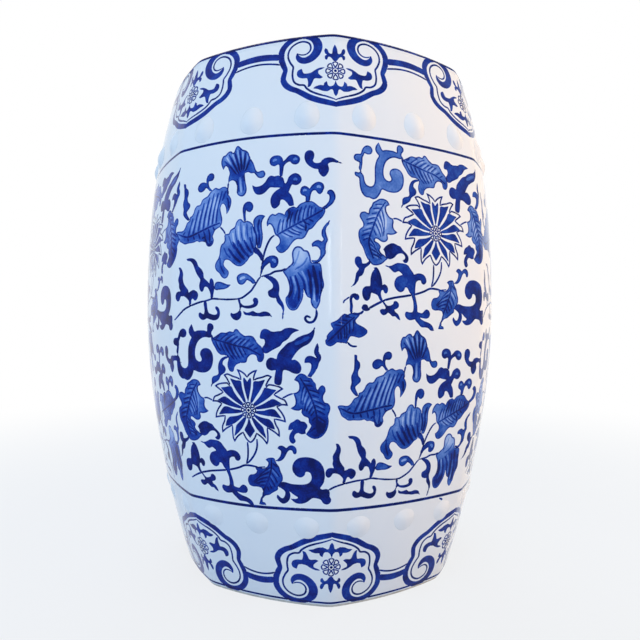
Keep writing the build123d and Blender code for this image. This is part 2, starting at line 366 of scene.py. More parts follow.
lotus_spray = [
    # leaf over the flower
    *leaf(0.46, [
        (-29.5, 219.2, 1), (-27, 219), (-23, 221.3), (-20, 222.8), (-16, 222.6), (-13, 223.8),
        (-10, 223.2), (-8.5, 225.3), (-6.5, 225.4), (-4.5, 223), (-2, 221.2), (0, 220.3), (3, 220.6),
        (6, 220), (8, 217.5), (10, 214.5), (13, 211.8), (14.5, 208), (14.2, 203.5), (12.5, 201.2),
        (10.2, 201.3), (9.3, 203), (8.8, 205.5), (6.5, 206.7), (3.8, 206.3), (1.3, 203.8), (0, 200.5),
        (-4.5, 199.9), (-8, 198.6), (-10, 196.2), (-10.6, 193.8), (-12, 192.8), (-14, 193.7),
        (-15.3, 196.5), (-15.2, 199.5), (-14.3, 202.5), (-15.5, 204.6), (-18, 205.8), (-21, 205.8),
        (-24, 208), (-25.8, 211), (-28, 214.5), (-29, 217)
    ], rib=[(-28.5, 218), (-18, 215.5), (-8, 213), (2, 211), (12, 206)], pairs=10, pools=[
        (-16, 211, 9, 0.16), (-12, 197, 5, 0.18), (12, 205, 5, 0.18), (-5, 221, 8, -0.1),
    ]),
    # wavy tail under it
    *leaf(0.7, [
        (-14, 205, 1), (-17.5, 204.2), (-20.8, 202.6), (-23, 199.5), (-24, 195.5), (-23.8, 191),
        (-25.5, 189.3), (-28.5, 188.5), (-30.2, 186.5), (-30.5, 183.5), (-32, 179.5, 1), (-30, 182.2),
        (-27, 184), (-24, 186.2), (-22.3, 189.3), (-20.6, 190.6), (-18.6, 192), (-17.5, 194.5),
        (-18.6, 196.8), (-20, 198), (-19.8, 200.5), (-17.3, 202.8), (-14.8, 203.6)
    ]),
    # bud at the top
    *leaf(0.72, [
        (11.9, 219), (12, 221.5), (13.2, 224.7), (15.5, 225.8), (18, 225.2), (20, 224), (22.5, 223.6),
        (25.5, 224.1), (28, 224.3), (30.5, 226), (34.5, 226.7), (38, 226), (41, 225, 1), (37.5, 223.7),
        (35.3, 222), (33.5, 219.5), (31.5, 217.7), (29, 216.2), (27, 213.5), (24, 211.8), (20, 209.6),
        (17, 207.8), (14.5, 207.9, 1), (13.5, 210.5), (13.6, 212), (15, 213.5), (15.8, 216), (15, 218.3),
        (13.5, 218.6)
    ]),
    # long forked bud
    *leaf(0.8, [
        (52.8, 228, 1), (52.2, 225), (51.5, 221), (49.8, 217.5), (47.5, 215), (43.5, 212.8), (40, 210),
        (37, 206), (35.5, 202.8), (38, 203), (41, 200.8), (42.5, 197.5), (42, 194.5), (40, 192.8),
        (36.5, 193.3), (33.5, 194.8), (31, 195.5), (29, 195), (28.3, 192), (28, 188), (27, 184.5),
        (24.8, 183.7), (22.6, 184.8), (22.5, 188), (23, 191.5), (23.5, 195.2), (20.5, 194.8), (17.5, 196),
        (16.2, 199), (17, 202.3), (19.5, 204.2), (22.3, 203.8), (24.3, 203.3), (25.2, 206.5),
        (27.2, 209.5), (30, 212.5), (33, 215.3), (37, 217), (40, 219.3), (44, 221.2), (47.5, 222.2),
        (50, 223.8), (51.6, 226)
    ]),
    *vein(-0.25, 2.4, [(38, 214.5), (43, 217), (48.5, 220)]),
    # two-tipped sprig
    *leaf(0.72, [
        (54.3, 215.5, 1), (55.2, 212.5), (55, 209.5), (56.5, 207), (56.8, 204), (55.3, 201),
        (54.3, 197.5), (52, 193.5), (49.5, 190.2, 1), (47, 190.8, 1), (49.3, 194.5), (50.2, 198),
        (49.8, 200.5), (47.8, 201.3), (45.2, 201, 1), (45.5, 203.5), (47, 205.5), (49.8, 206),
        (52.5, 204.9), (53.9, 204.8), (52.5, 207.5), (52.2, 210), (53.2, 213)
    ]),
    # acanthus leaf on the right
    *leaf(0.52, [
        (37.5, 188, 1), (39.5, 191), (42.3, 192.8), (45.3, 191.9), (47.3, 190.3), (49.8, 189.6),
        (51.5, 187), (53, 185.3), (53.5, 182), (54.8, 180.8), (56, 182.8), (57.9, 184.3), (59.8, 182.8),
        (60.1, 179.8), (58.6, 177), (58.5, 173.5), (60, 171.3), (62.2, 170.8), (63.8, 168), (63.2, 164.5),
        (62.2, 161.5), (62.7, 157.5), (62, 152.5), (60, 148.3), (57, 145.2), (53, 143.8), (49, 144.8),
        (46, 147, 1), (49, 151.3), (50, 154), (48.3, 156.2), (47.8, 159.6), (44.5, 161), (42.7, 163.6),
        (43, 166.2), (40.5, 165), (37.3, 165.3), (34.5, 166.4, 1), (37.6, 168.5), (38.4, 171.5),
        (37.8, 175), (36.5, 177.8, 1), (38.8, 178.4), (40.7, 180), (41.3, 183), (40.4, 186.4)
    ], rib=[(41.5, 190), (46.5, 182), (51, 172), (54, 161), (54, 149)], pairs=10, lean=0.95, pools=[
        (59, 155, 9, 0.22), (55, 147, 8, 0.2), (44, 175, 8, -0.14), (51, 183, 6, 0.14),
    ]),
    # bud below the acanthus
    *leaf(0.75, [
        (32.3, 149.8, 1), (32.7, 152.5), (34.3, 155), (36.5, 156.2), (38.5, 157.8), (40, 158),
        (42, 156.5), (44.5, 156.3), (46.5, 154.3), (46.6, 152.3), (45.2, 150), (45.5, 147.6, 1),
        (42.5, 147), (39.5, 147.8), (37.3, 146.5), (36.4, 143.8), (37.6, 141.3), (35.8, 139.3),
        (33.8, 140.3), (32.8, 143), (33.3, 146), (34.8, 148.5), (35.8, 150.3), (34.5, 150)
    ]),
    # acanthus leaf on the left
    *leaf(0.48, [
        (-41.8, 181, 1), (-43.2, 183.6), (-46, 185), (-49.5, 184.8), (-52.5, 183), (-55.2, 181.4),
        (-56.3, 178.8), (-58.3, 176.2), (-59.2, 172.8), (-62, 173.8), (-65, 173), (-66.3, 170.3),
        (-65, 167.6), (-63.7, 165), (-64.2, 162.2), (-66.8, 160.3), (-68, 156.5), (-67.2, 151),
        (-65, 147), (-63.5, 142.5), (-61.3, 138), (-58, 134.6), (-54, 134.3), (-50, 135.7),
        (-46.8, 138.4), (-44, 140.3, 1), (-47.8, 141.8), (-50.6, 143.6), (-51.8, 146), (-50.6, 148.3),
        (-52.5, 150.8), (-55.2, 152.2), (-54.6, 154.4), (-52.3, 154), (-49.6, 152.4), (-46.6, 152.4),
        (-44.4, 154.6), (-44.6, 158.2), (-42, 158.2), (-39, 158.8), (-36, 160.3, 1), (-38.6, 162.2),
        (-39.6, 165), (-39, 168.3), (-39.4, 170.6, 1), (-42, 171.4), (-44, 174), (-45, 177),
        (-44.4, 179.8)
    ], rib=[(-45, 183), (-51, 174), (-56, 163), (-60, 151), (-57, 139)], pairs=11, lean=0.95, pools=[
        (-61, 151, 10, 0.16), (-58, 141, 9, 0.08), (-46, 172, 10, -0.14), (-48, 160, 7, -0.1),
    ]),
    # dark bud under it
    *leaf(0.92, [
        (-48.2, 146.5, 1), (-46, 149), (-42.5, 151), (-39.5, 151.6), (-36, 150.3), (-33.5, 149.5),
        (-31.5, 147), (-29, 145), (-27, 142.8), (-26.7, 140), (-28.2, 137.8), (-30.5, 137.8),
        (-31.6, 139.2, 1), (-29.8, 140.2), (-29.3, 142.3), (-31, 144.3), (-33.5, 144.8), (-36.5, 143.8),
        (-39.5, 141), (-43, 139.6), (-46, 140.3), (-46.8, 142), (-47, 144.3)
    ]),
    # small lily at the lower left
    *leaf(0.9, [
        (-57, 132, 1), (-54.5, 132.3), (-52.5, 129.5), (-51, 125), (-50.5, 121), (-50.3, 119.2),
        (-48.3, 120), (-46.2, 118.5), (-45.6, 116), (-46.8, 113.6), (-48.5, 113.8), (-49.3, 115.5),
        (-50.5, 116), (-51.6, 114.8), (-52, 112.5), (-51.2, 109.5), (-50, 107.8, 1), (-51.8, 107),
        (-53.3, 109.2), (-54.6, 111.8), (-57.5, 113), (-60, 113.4), (-60.8, 111), (-62, 108.3),
        (-64.5, 107.3), (-66.5, 109), (-67.3, 112.5), (-66.5, 116), (-64, 117.8), (-61, 118),
        (-60.2, 119.5), (-59.8, 124), (-58.3, 128.5), (-56.3, 131)
    ]),
    # sprig under the stem
    *leaf(0.84, [
        (-49.7, 107.5, 1), (-48.3, 105.5), (-46.3, 103.8), (-43, 104.3), (-41, 105.5), (-40.3, 107.3),
        (-38.3, 107.6), (-36.4, 106), (-36.3, 103.8), (-38, 102.3), (-40.3, 101.5), (-39.6, 99.5),
        (-37.3, 98), (-36, 96), (-35, 93.5, 1), (-37.3, 94.6), (-39.6, 96.5), (-42, 96.3), (-44, 98),
        (-46, 99), (-47.6, 97.8), (-50, 97), (-52, 98), (-53, 100.3), (-51, 101.3), (-49, 101.2),
        (-47.8, 102.3), (-48.8, 104.5), (-50.6, 106.5)
    ]),
    # main stem
    *stroke(0.96, 1.4, [
        (-63, 101.6), (-57, 104.8), (-50, 107.7), (-40, 110.3), (-30, 112), (-20, 113.9), (-12, 116.3),
        (-6, 118.8), (0, 119), (6, 118.3), (12, 119)
    ]),
    # big curling bud
    *leaf(0.76, [
        (-48, 134.5, 1), (-43.5, 134), (-40.5, 135), (-37, 136.7), (-33.5, 136.8), (-30, 136.6),
        (-27, 135.5), (-24.8, 132.8), (-22.5, 130.2), (-21.3, 128.8), (-18.5, 129.8), (-15, 130),
        (-11.8, 128.9), (-9.8, 126.3), (-9.7, 123.8), (-11.8, 122), (-14, 122.8), (-14.8, 124.8),
        (-17, 125), (-19, 124), (-20, 122.5), (-20.6, 118), (-20.6, 114.5), (-20.4, 111.5), (-19.5, 108),
        (-18.6, 104), (-18.5, 100.5), (-16.8, 99.6), (-13.5, 99.2), (-11.5, 100.8), (-9.5, 102.2),
        (-7, 101.6), (-5.5, 99), (-6.6, 96.5), (-9, 95.5), (-12.5, 95.7), (-15.8, 96), (-14.5, 94.5),
        (-11, 93), (-6.5, 91.8), (-3, 89.8), (-1, 86.8), (-0.5, 86, 1), (-4, 86.2), (-6.8, 88),
        (-10, 88.6), (-14, 88.7), (-17, 91), (-19.7, 93.3), (-20.8, 94.6), (-23, 94.2), (-26, 93.9),
        (-29, 95.3), (-30.3, 97.8), (-29.2, 99.9), (-26.5, 99.5), (-23.5, 99.6), (-22.2, 101.5),
        (-22, 105.5), (-22.7, 109.5), (-24.3, 113), (-26, 115.5), (-27.8, 118.5), (-30, 118.8),
        (-31.2, 116.5), (-34, 115), (-37, 116), (-39.3, 119), (-39.3, 122.5), (-37.3, 125.8),
        (-34, 127.3), (-32, 128.3), (-34, 130.2), (-36, 131), (-38.8, 129.8), (-41, 130.6), (-43.5, 132.8)
    ]),
    # flower stalk
    *stroke(0.95, 1.3, [
        (-4.5, 120), (-2.8, 125), (-2, 132), (-2, 138)
    ]),
    *stroke(0.95, 1.3, [
        (-4.5, 120), (0, 124), (4, 129.5), (6, 135), (6.3, 141)
    ]),
    # leaf under the flower
    *leaf(0.56, [
        (12.8, 125, 1), (15, 126.3), (17.5, 126.8), (19.8, 126.5), (20.8, 124.5), (21.5, 122.5),
        (23.5, 120), (24.5, 116.5), (26, 113), (26, 109.5), (25.2, 107.8), (25.3, 106.2, 1),
        (23.5, 104.5), (21.8, 103.6), (21.6, 101.5), (19, 99.8), (16, 98), (14, 96.6), (10.5, 95.6),
        (8.3, 93.5), (7.5, 91.5), (7.4, 89.8), (9.5, 89.2), (10.3, 87.5, 1), (4.2, 87.5, 1), (5.2, 90),
        (6.3, 93), (8.2, 95.8), (8.5, 98.5), (7.8, 101.5), (4, 102.4), (0, 102.2), (-3, 103.2),
        (-4.2, 106.5), (-3.5, 109.3), (-1.8, 111.3), (1.5, 112), (3.8, 113.3), (4.6, 115.5), (3.2, 117.6),
        (3, 118.5, 1), (7, 118.3), (10, 117.8), (12.5, 118.5), (14.5, 120.5), (15, 123)
    ], rib=[(17.5, 126), (17, 118), (14, 109), (9.5, 100), (7, 92)], pairs=8, pools=[
        (12, 106, 7, 0.2), (20, 116, 6, -0.1), (0, 106, 6, 0.12),
    ]),
    # sprig rising from it
    *leaf(0.66, [
        (20.5, 124.8, 1), (23, 126), (25, 128.3), (26, 131.3), (25.7, 133.3), (23.2, 134.8, 1),
        (24.5, 136.5), (27, 136.9), (29, 135.8), (30.3, 135.2), (32.3, 137), (35, 137.6), (37.5, 136),
        (38.2, 133.2), (37.3, 131.2), (35.8, 131.6), (35, 133.6), (33, 134.2), (31, 132.8), (29.6, 130.3),
        (28, 127.5), (25.5, 125.3), (22, 124.4)
    ]),
    # big comma scroll at the lower right
    *leaf(0.85, [
        (25, 108, 1), (28.5, 107.8), (33, 106.8), (38, 106.6), (44, 107), (48, 108.6), (50, 111.5),
        (50, 114.5), (48.8, 117), (46.3, 117.8), (44.8, 117), (44.3, 115, 1), (42.5, 113.4), (40, 112.9),
        (37.2, 114.3), (35.2, 117), (34.7, 120.5), (36, 124.3), (39, 127.3), (43, 128.6), (48, 128.8),
        (53, 127.5), (57, 124.7), (59.3, 120.5), (60.2, 115), (59.5, 110), (57.5, 106.5), (56.5, 104.8),
        (58.5, 103.6), (61, 104.2), (63.5, 103.8), (64.3, 101), (64.2, 98.5), (65.5, 96), (64.6, 93.2),
        (62, 92), (59.3, 93), (57.8, 95.3), (55.5, 96.4), (51, 96.8), (48.8, 95.5), (45.5, 92.9),
        (41, 91.4), (37, 91.6), (34, 93.3), (32.3, 94.8, 1), (35.5, 94.6), (38, 95.2), (38.5, 96.6),
        (35.8, 98), (32.5, 100.3), (31.5, 100.5), (32, 97.5), (31, 94), (28.5, 91.3), (25.5, 90.3),
        (22.5, 92), (20.6, 95), (21.2, 96.9), (22.3, 96), (24, 94.6), (26, 94.5), (27.5, 96.5),
        (28.2, 99.5), (27, 101.5), (24, 103.3), (22, 103.8, 1), (23, 106)
    ]),
    # tendrils to the flower
    *stroke(0.93, 1, [
        (-39.4, 170.6), (-36, 171), (-31, 169.3)
    ]),
    *stroke(0.93, 1, [
        (36.5, 177.8), (33, 176.5), (28, 173.8)
    ]),
]

flower_middle = 0.5
flower_height = 163.3
flower_edge = [
    (0.5, 189.5, 1), (2, 191.5), (5.5, 193.8), (8.8, 194.8, 1), (7, 191), (6, 187.3, 1), (8.3, 188.5),
    (13, 189.8), (17, 191.2), (20.4, 190, 1), (17.7, 186.5), (15.4, 181.8, 1), (17.3, 184), (22, 183.8),
    (26, 182.8), (29, 181, 1), (25.2, 178.5), (22.2, 176.4, 1), (27, 174), (29.7, 173), (31.2, 171),
    (32.2, 168.3, 1), (27.7, 168.5), (24.2, 167, 1), (27.2, 163.5), (29.5, 159.5), (30.4, 155.5, 1),
    (26.2, 156.5), (21.7, 157.2, 1), (22.7, 153.5), (25, 149), (25.2, 143.8, 1), (20.7, 147.3),
    (15.7, 150, 1), (16, 145), (15.7, 140), (14.4, 137.2, 1), (11.2, 141.5), (6.5, 145, 1), (4.2, 140.5),
    (0.5, 137.6),
]
petal_cores = [
    [(-1.4, 169.3), (-3.1, 176), (-4.3, 181), (-5, 185.6), (-9, 186), (-13.7, 187.3, 1), (-11.5, 183),
     (-9.3, 179), (-6, 174.3), (-2.8, 169.6)],
    [(-3.7, 168), (-7.8, 172.3), (-11.2, 176.8), (-13.6, 181.2), (-18, 180.4), (-22.4, 179.8, 1),
     (-17.5, 175), (-12, 171), (-5.2, 167)],
    [(-5.2, 165.6), (-12, 168.6), (-17.5, 172), (-20.5, 172.7), (-26.2, 169.7, 1), (-21, 167.6),
     (-15, 165.9), (-6, 164.5)],
    [(-5.9, 162.8), (-12, 163.4), (-17, 164.9), (-20.6, 164.7), (-23.2, 162), (-25.8, 158.5, 1),
     (-20, 159.5), (-14, 160), (-5.8, 161.4)],
    [(-4.6, 160), (-9, 158.3), (-13, 157.5), (-16.4, 156.7), (-19, 153.8), (-20.4, 149.6, 1), (-15, 151),
     (-9.6, 154.3), (-4.2, 159)],
    [(-2.6, 158), (-6, 155), (-10.6, 150.5), (-11.5, 147.5), (-13.1, 142, 1), (-8.5, 146.2), (-5, 150.6),
     (-1.8, 157.4)],
]
upright_cores = [
    [(0.5, 170, 1), (-0.9, 176), (-2, 181), (-2.6, 187), (-2, 188.4, 1), (0.5, 185.3, 1)],
    [(0.5, 157), (-0.9, 152.5), (-3.6, 147.8), (-3, 146.4), (0.5, 141.7, 1)],
]


def rosette(middle, petals, inner, outer, girth, edge_width=0.7):
    """Ring of small white petals round a dotted eye."""
    layers = []
    for petal in range(petals):
        turn = math.pi / 2 + 2 * math.pi * petal / petals
        tip = np.array([math.cos(turn), math.sin(turn)])
        side = np.array([-tip[1], tip[0]])
        reach = outer - inner
        shape = [(0.0, 0.0, 1), (0.55, 0.75), (0.85, 0.7), (1.0, 0.0), (0.85, -0.7), (0.55, -0.75)]
        spots = [middle + tip * (inner + reach * point[0]) + side * girth * point[1] for point in shape]
        layers += leaf(0.0, [tuple(spot) for spot in spots], edge_width)
    circle = [(math.cos(turn), math.sin(turn)) for turn in np.arange(12) * math.pi / 6]
    for tone, radius in ((0.9, inner), (0.0, inner - edge_width), (0.97, inner * 0.42)):
        spots = [tuple(middle + radius * np.array(spot)) for spot in circle]
        layers.append((tone, drawn(spots, True), "line"))
    return layers


def lotus_flower():
    """Open flower seen from the front."""
    layers = leaf(0.0, both_halves(flower_edge, flower_middle), 1.1)
    for core in petal_cores:
        layers += mirrored(leaf(0.74, core, 0.45), flower_middle)
    for core in upright_cores:
        layers += leaf(0.74, both_halves(core, flower_middle), 0.45)
    return layers + rosette(np.array([flower_middle, flower_height]), 8, 2.8, 6.5, 2.4, 1.0)


lotus_spray += lotus_flower()

# Leaf spray: fan, fern and two-lobed leaves on a wandering stem, in the other half of each panel.
leaf_spray = [
    # top leaf
    *leaf(0.5, [
        (-22, 351.3, 1), (-24, 355.7), (-24.2, 359.2), (-23, 362.2), (-21.1, 362.6), (-19.7, 363.9),
        (-18, 365.3), (-16, 365.2), (-14.6, 363.9), (-13.3, 364.2), (-12.4, 366.5), (-11.6, 368.4),
        (-10.2, 369), (-8.4, 367.6), (-6, 365.5), (-3.4, 364.5), (-1.1, 362.6), (0.3, 359.5), (2, 356.3),
        (4, 353), (5, 350.3), (6.2, 347.5), (7.9, 346), (9.8, 346.4), (12.2, 346.7), (13.9, 344.5),
        (13.3, 342.2), (11, 341.2), (8.5, 341.9), (6.6, 344), (5, 345.8), (2.6, 345.8), (0.2, 347),
        (-1.5, 346.8), (-3, 346.1), (-2.8, 343), (-2, 338.5), (-0.9, 334.2), (-1.2, 330.7), (-3, 328.4),
        (-5.3, 328.2), (-7.6, 329.5), (-8.8, 331.8), (-8.6, 334.9), (-9.3, 338), (-10.8, 340.7),
        (-13.2, 341.8), (-15.5, 341.2), (-16.6, 339, 1), (-16.6, 343.8), (-15.8, 347.4), (-16.7, 350),
        (-18, 352.6), (-19.9, 354.2), (-21.2, 352.9)
    ], pools=[(-6, 350, 7, 0.3), (-13, 351, 6, 0.18), (-18, 360, 5, -0.12), (-5, 333, 6, -0.08)]),
    *vein(0.25, 1.2, [(-21.5, 358), (-15.5, 352.5), (-9.8, 346)]),
    *vein(0.3, 1.4, [(-18, 363), (-13, 355), (-8.2, 346.5)]),
    *vein(0.35, 1.6, [(-12.8, 364), (-9.8, 356), (-6.8, 347.5)]),
    *vein(0.35, 1.7, [(-8.5, 366), (-6.8, 357), (-5.4, 348.5)]),
    *vein(0.35, 1.5, [(-3.2, 363), (-3.6, 356), (-4, 348.5)]),
    *vein(0.3, 1.3, [(1.2, 357.5), (-0.5, 353), (-2.6, 348)]),
    *combed(-0.2, 1.2, [
        [(-20, 361), (-14.4, 353.5), (-9.2, 346.6)], [(-15.2, 364), (-11.4, 355.5), (-7.6, 347.5)],
        [(-10.6, 366), (-8.3, 357), (-6.1, 348.5)], [(-5.6, 364.5), (-5.2, 356.5), (-4.7, 349)],
        [(-1, 360.5), (-2, 354.5), (-3.3, 348.6)],
    ]),
    *vein(0.25, 1.2, [(-9.2, 342.5), (-7.9, 337), (-7, 331.5)]),
    *vein(-0.18, 1.3, [(-6.8, 343.5), (-5.9, 337), (-5, 331)]),
    *vein(0.2, 1.0, [(-4.4, 344), (-3.9, 338), (-3, 332.5)]),
    *stroke(0.95, 1.2, [
        (-16.6, 340), (-16.9, 335), (-16.2, 330)
    ]),
    # big leaf on the left
    *leaf(0.42, [
        (-16.6, 335.3, 1), (-16.6, 332), (-15.5, 329.5), (-13.8, 326.8), (-13.4, 323.5), (-14.6, 319),
        (-16.8, 315.2, 1), (-17.3, 319.3), (-18.5, 322.3), (-20.3, 323.9), (-22, 323), (-22.8, 319.9),
        (-22, 316), (-20.9, 312.2), (-20.9, 308.4), (-22.2, 305.4, 1), (-24.5, 304.6), (-26.8, 303),
        (-28.3, 300), (-28.8, 298), (-27.7, 295.5), (-28.4, 292.6), (-30.3, 290.8), (-32.5, 290.8),
        (-34.2, 292.2), (-35.5, 294.3), (-38.8, 295.3), (-41.1, 294.9), (-43.4, 296), (-45.7, 295.2),
        (-48.8, 294.8), (-52, 294.7), (-55.7, 294.2), (-58.8, 295.7), (-61.5, 297.2), (-63.6, 300.5),
        (-65.8, 304.2), (-63, 305), (-59.5, 304.9), (-57.2, 305.8), (-55.6, 308.5), (-54.4, 311.2),
        (-52.2, 312.7), (-51.5, 315.7), (-49.5, 316.6), (-47.8, 319.3), (-47, 322.2), (-44.9, 324.4),
        (-42.6, 324.5), (-41.2, 325.8), (-40.1, 328.5), (-37.6, 330), (-34.9, 331.2), (-33, 333.8),
        (-30.3, 335.8), (-28, 337), (-24.9, 335.8), (-21.8, 336.9), (-18.8, 336.8)
    ], pools=[
        (-20, 332, 7, 0.16), (-30, 330, 9, -0.08), (-52, 299, 10, 0.14), (-17, 322, 6, 0.2),
        (-36, 297, 7, 0.2),
    ]),
    *vein(0.36, 1.3, [(-64, 303), (-53, 299.8), (-41, 303), (-30, 306.6), (-22.5, 308.5)]),
    *combed(0.3, 1.2, [
        [(-58.5, 301.2), (-56, 304.2)], [(-52.5, 300.5), (-51, 306), (-48.5, 314.5)],
        [(-47.5, 301.5), (-46, 310), (-43, 321)], [(-42.5, 303), (-41, 313), (-38, 326)],
        [(-37.8, 304.7), (-36.3, 316), (-33, 330)], [(-33.5, 306), (-32, 318), (-29, 333)],
        [(-29.6, 307.3), (-28.2, 319), (-25.2, 333)], [(-26, 308), (-25, 320), (-21.8, 334)],
        [(-21.2, 326), (-19.8, 330), (-18.2, 334)], [(-15.4, 320), (-15.6, 324), (-17, 328)],
        [(-53, 299), (-52.5, 297.5), (-52, 296)], [(-47.5, 300), (-46.8, 298.5), (-46, 297)],
        [(-42.5, 301.8), (-41.3, 299.5), (-40.5, 297)], [(-37.5, 303.6), (-36.2, 300), (-35.5, 296.5)],
        [(-33, 305), (-31.5, 300), (-31.2, 293)], [(-29, 306), (-27.6, 304), (-27.2, 303)],
    ]),
    *combed(-0.15, 1.2, [
        [(-50, 301.5), (-48.5, 307), (-46.5, 313)], [(-45, 302.8), (-43.5, 311), (-41, 320)],
        [(-40, 304.5), (-38.6, 314), (-36, 325)], [(-35.6, 306), (-34, 317), (-31.4, 328)],
        [(-31.5, 307.4), (-30, 318.5), (-27.4, 330)], [(-27.8, 308.5), (-26.6, 320), (-23.8, 331)],
    ]),
    *vein(0.35, 1.5, [
        (-38.5, 297), (-36.5, 298.5), (-34.5, 294.5), (-32.5, 292.3), (-30.3, 292.6), (-29.3, 295),
    ]),
    *stroke(0.95, 1, [
        (-22.2, 305.4), (-19, 302), (-17.3, 299.2)
    ]),
    # flame at the left
    *leaf(0.68, [
        (-60.7, 344.2, 1), (-58.8, 343.9), (-58, 340.7), (-55.7, 338.8), (-54.8, 335.3), (-55.7, 332.2),
        (-54.9, 328.8), (-52.6, 326.5), (-52.5, 324.2), (-54.5, 321.8), (-55.7, 319.9), (-53.8, 316.5),
        (-51.8, 313.8, 1), (-53.4, 313.4), (-56.5, 315.7), (-58.9, 318.8), (-58.8, 323), (-59.9, 327.6),
        (-58.9, 332.2), (-59.2, 336.1), (-59.9, 340.7)
    ]),
    # pair of balls on the big leaf
    *leaf(0.64, [
        (-31, 335.5, 1), (-33.5, 337.5), (-35, 340.5), (-34.9, 343.3), (-31.6, 343.7), (-30.2, 346),
        (-31, 348.6), (-33.5, 349.6), (-36.2, 348.2), (-37.3, 345), (-37.2, 342), (-39.3, 342.8),
        (-42.3, 342.7), (-44.6, 340.8), (-45.2, 338.3), (-43.8, 336), (-41.3, 335.3), (-38.9, 336.5),
        (-37.3, 338.3), (-35, 337), (-33, 335)
    ]),
    # fan leaf in the middle
    *leaf(0.42, [
        (-17.3, 299.2, 1), (-14.2, 299.4), (-13, 302), (-10.7, 303.4), (-9.1, 304.6), (-8.3, 307.6),
        (-6.4, 309.8), (-4.2, 309.9), (-2.2, 308), (0.6, 308.3), (3.3, 307.2), (5.4, 305.2, 1),
        (6.8, 300.7), (8.3, 296.8), (8.7, 291.5), (8.4, 287.6, 1), (6.6, 284.5), (6, 282.6), (3.3, 280.6),
        (1.8, 278.4), (-0.2, 276.1), (-2.5, 274.5), (-4.2, 273.9), (-7.2, 274.4), (-9.9, 276.1),
        (-12.6, 278.4), (-14.9, 279.5), (-17.2, 279.2), (-18.4, 276.8), (-18, 274.5), (-16.1, 272.2),
        (-14.2, 270.3), (-14, 268), (-15.3, 265.7), (-17.6, 264.9), (-19.9, 266.5), (-21.8, 269.2),
        (-24.5, 271.5), (-25.7, 274.5), (-24.9, 277.6), (-23, 280.3), (-21.8, 283.8), (-21.5, 287.6),
        (-20.5, 291.1), (-18.8, 292.2), (-17.6, 294.5), (-18, 297.6)
    ], pools=[(0, 282, 9, 0.22), (-10, 280, 8, 0.12), (-19, 272, 6, 0.2), (-9, 300, 10, -0.08)]),
    *combed(0.34, 1.9, [
        [(-11, 293), (-6, 285), (-0.5, 278.5)], [(-6.5, 294), (-2, 286), (2.5, 281)],
    ]),
    *vein(0.34, 1.7, [(-1.5, 294), (2, 287.5), (5, 283.5)]),
    *vein(0.32, 1.7, [(-14.5, 288), (-9.5, 281.5), (-4, 276.5)]),
    *vein(0.3, 1.4, [(3, 296), (5, 290), (6.5, 286)]),
    *combed(0.2, 1.0, [
        [(-14.5, 298), (-12, 292), (-9, 287)], [(-9, 303), (-8, 296), (-6, 289)],
        [(-4.5, 308), (-4, 300), (-2.5, 293)], [(0.5, 306.5), (1, 300), (2, 294)],
        [(4, 304), (4.8, 298), (5.5, 292)], [(-18.5, 289), (-16, 284), (-12.5, 280.5)],
    ]),
    *combed(-0.16, 1.2, [
        [(-11, 300), (-10, 294), (-7.5, 288)], [(-6.5, 305), (-6, 298), (-4.5, 291)],
        [(-1.8, 305), (-1.5, 298), (0, 292)],
    ]),
    *vein(0.25, 1.0, [(-21.5, 281), (-21, 275), (-17.5, 268)]),
    # knob on top of the fan
    *leaf(0.65, [
        (-1.7, 308.4), (-2.5, 313), (-3.1, 317.6), (-2.1, 321.5), (0.6, 323.2), (3.3, 322.6),
        (5.1, 319.9), (4.5, 316.5), (2.5, 315.3), (0.6, 316.1), (-0.5, 316.8), (-0.9, 313), (-0.5, 308.4)
    ]),
    # folded edge of the fan
    *leaf(0.5, [
        (6, 305.3), (6, 308.4), (7.9, 311.1), (10.6, 312.2), (13.3, 311.9), (14.8, 311.1, 1), (13.2, 309),
        (12.3, 306), (12.5, 301.5), (13.2, 298), (13.3, 294.5), (12.6, 289.9), (11.8, 287.2, 1),
        (9.5, 287.2), (8.7, 291.5), (8.3, 296.8), (6.9, 300.7)
    ]),
    *vein(0.35, 1.5, [(10.6, 289), (10.8, 297), (9.6, 303), (10.5, 309)]),
    *leaf(0.85, [
        (6.4, 286.8), (8.7, 287.6), (11.8, 284.2), (14.1, 280.7), (14.5, 277.6), (12.5, 277.6),
        (11.4, 279.9), (9.1, 282.6), (6.8, 283.8)
    ]),
    # leaf on the right
    *leaf(0.44, [
        (16.8, 303.4, 1), (16.6, 306.8), (18.3, 310.7), (20.6, 312.4), (22.9, 311.6), (25.2, 313),
        (28.3, 312.2), (29.8, 311.2), (30.6, 313.2), (32.2, 315.7), (34.5, 316.6), (36.6, 317.2),
        (38.7, 316.2), (41, 318.7), (43.7, 320), (46.8, 321.1), (49.8, 320.7), (52.2, 319.2),
        (54.8, 316.9), (57.5, 315.7), (59.8, 314.5, 1), (59, 311.5), (57.2, 308.4), (54.5, 306),
        (52.2, 303), (50, 300.4), (48, 299.5), (46.8, 297.6), (45.2, 294.5), (42.9, 292.8), (39.8, 293),
        (37.2, 291.7), (35.2, 289.4), (32.9, 286.1), (30.6, 283.8), (28.3, 282.8), (26, 283.4),
        (24.4, 285.3), (23.8, 287.2, 1), (25.7, 288.6), (26.8, 290.8), (26.6, 293), (25.5, 295),
        (23.7, 296, 1), (22.4, 298.5), (21.6, 301.5), (20, 304.3), (18.4, 304.9)
    ], rib=[(23.7, 296), (35, 302), (47, 308), (58, 314)], pairs=11, lean=1.1, pools=[
        (34, 313, 6, 0.25), (44, 306, 9, 0.12), (54, 312, 7, 0.2), (28, 286, 6, 0.14), (24, 306, 7, -0.1),
    ]),
    *vein(0.35, 1.7, [(32.5, 316), (33.5, 311), (31.5, 306)]),
    *vein(0.35, 1.5, [(43, 308), (45.5, 304), (45.5, 298.5)]),
    # hooked tail past it
    *leaf(0.6, [
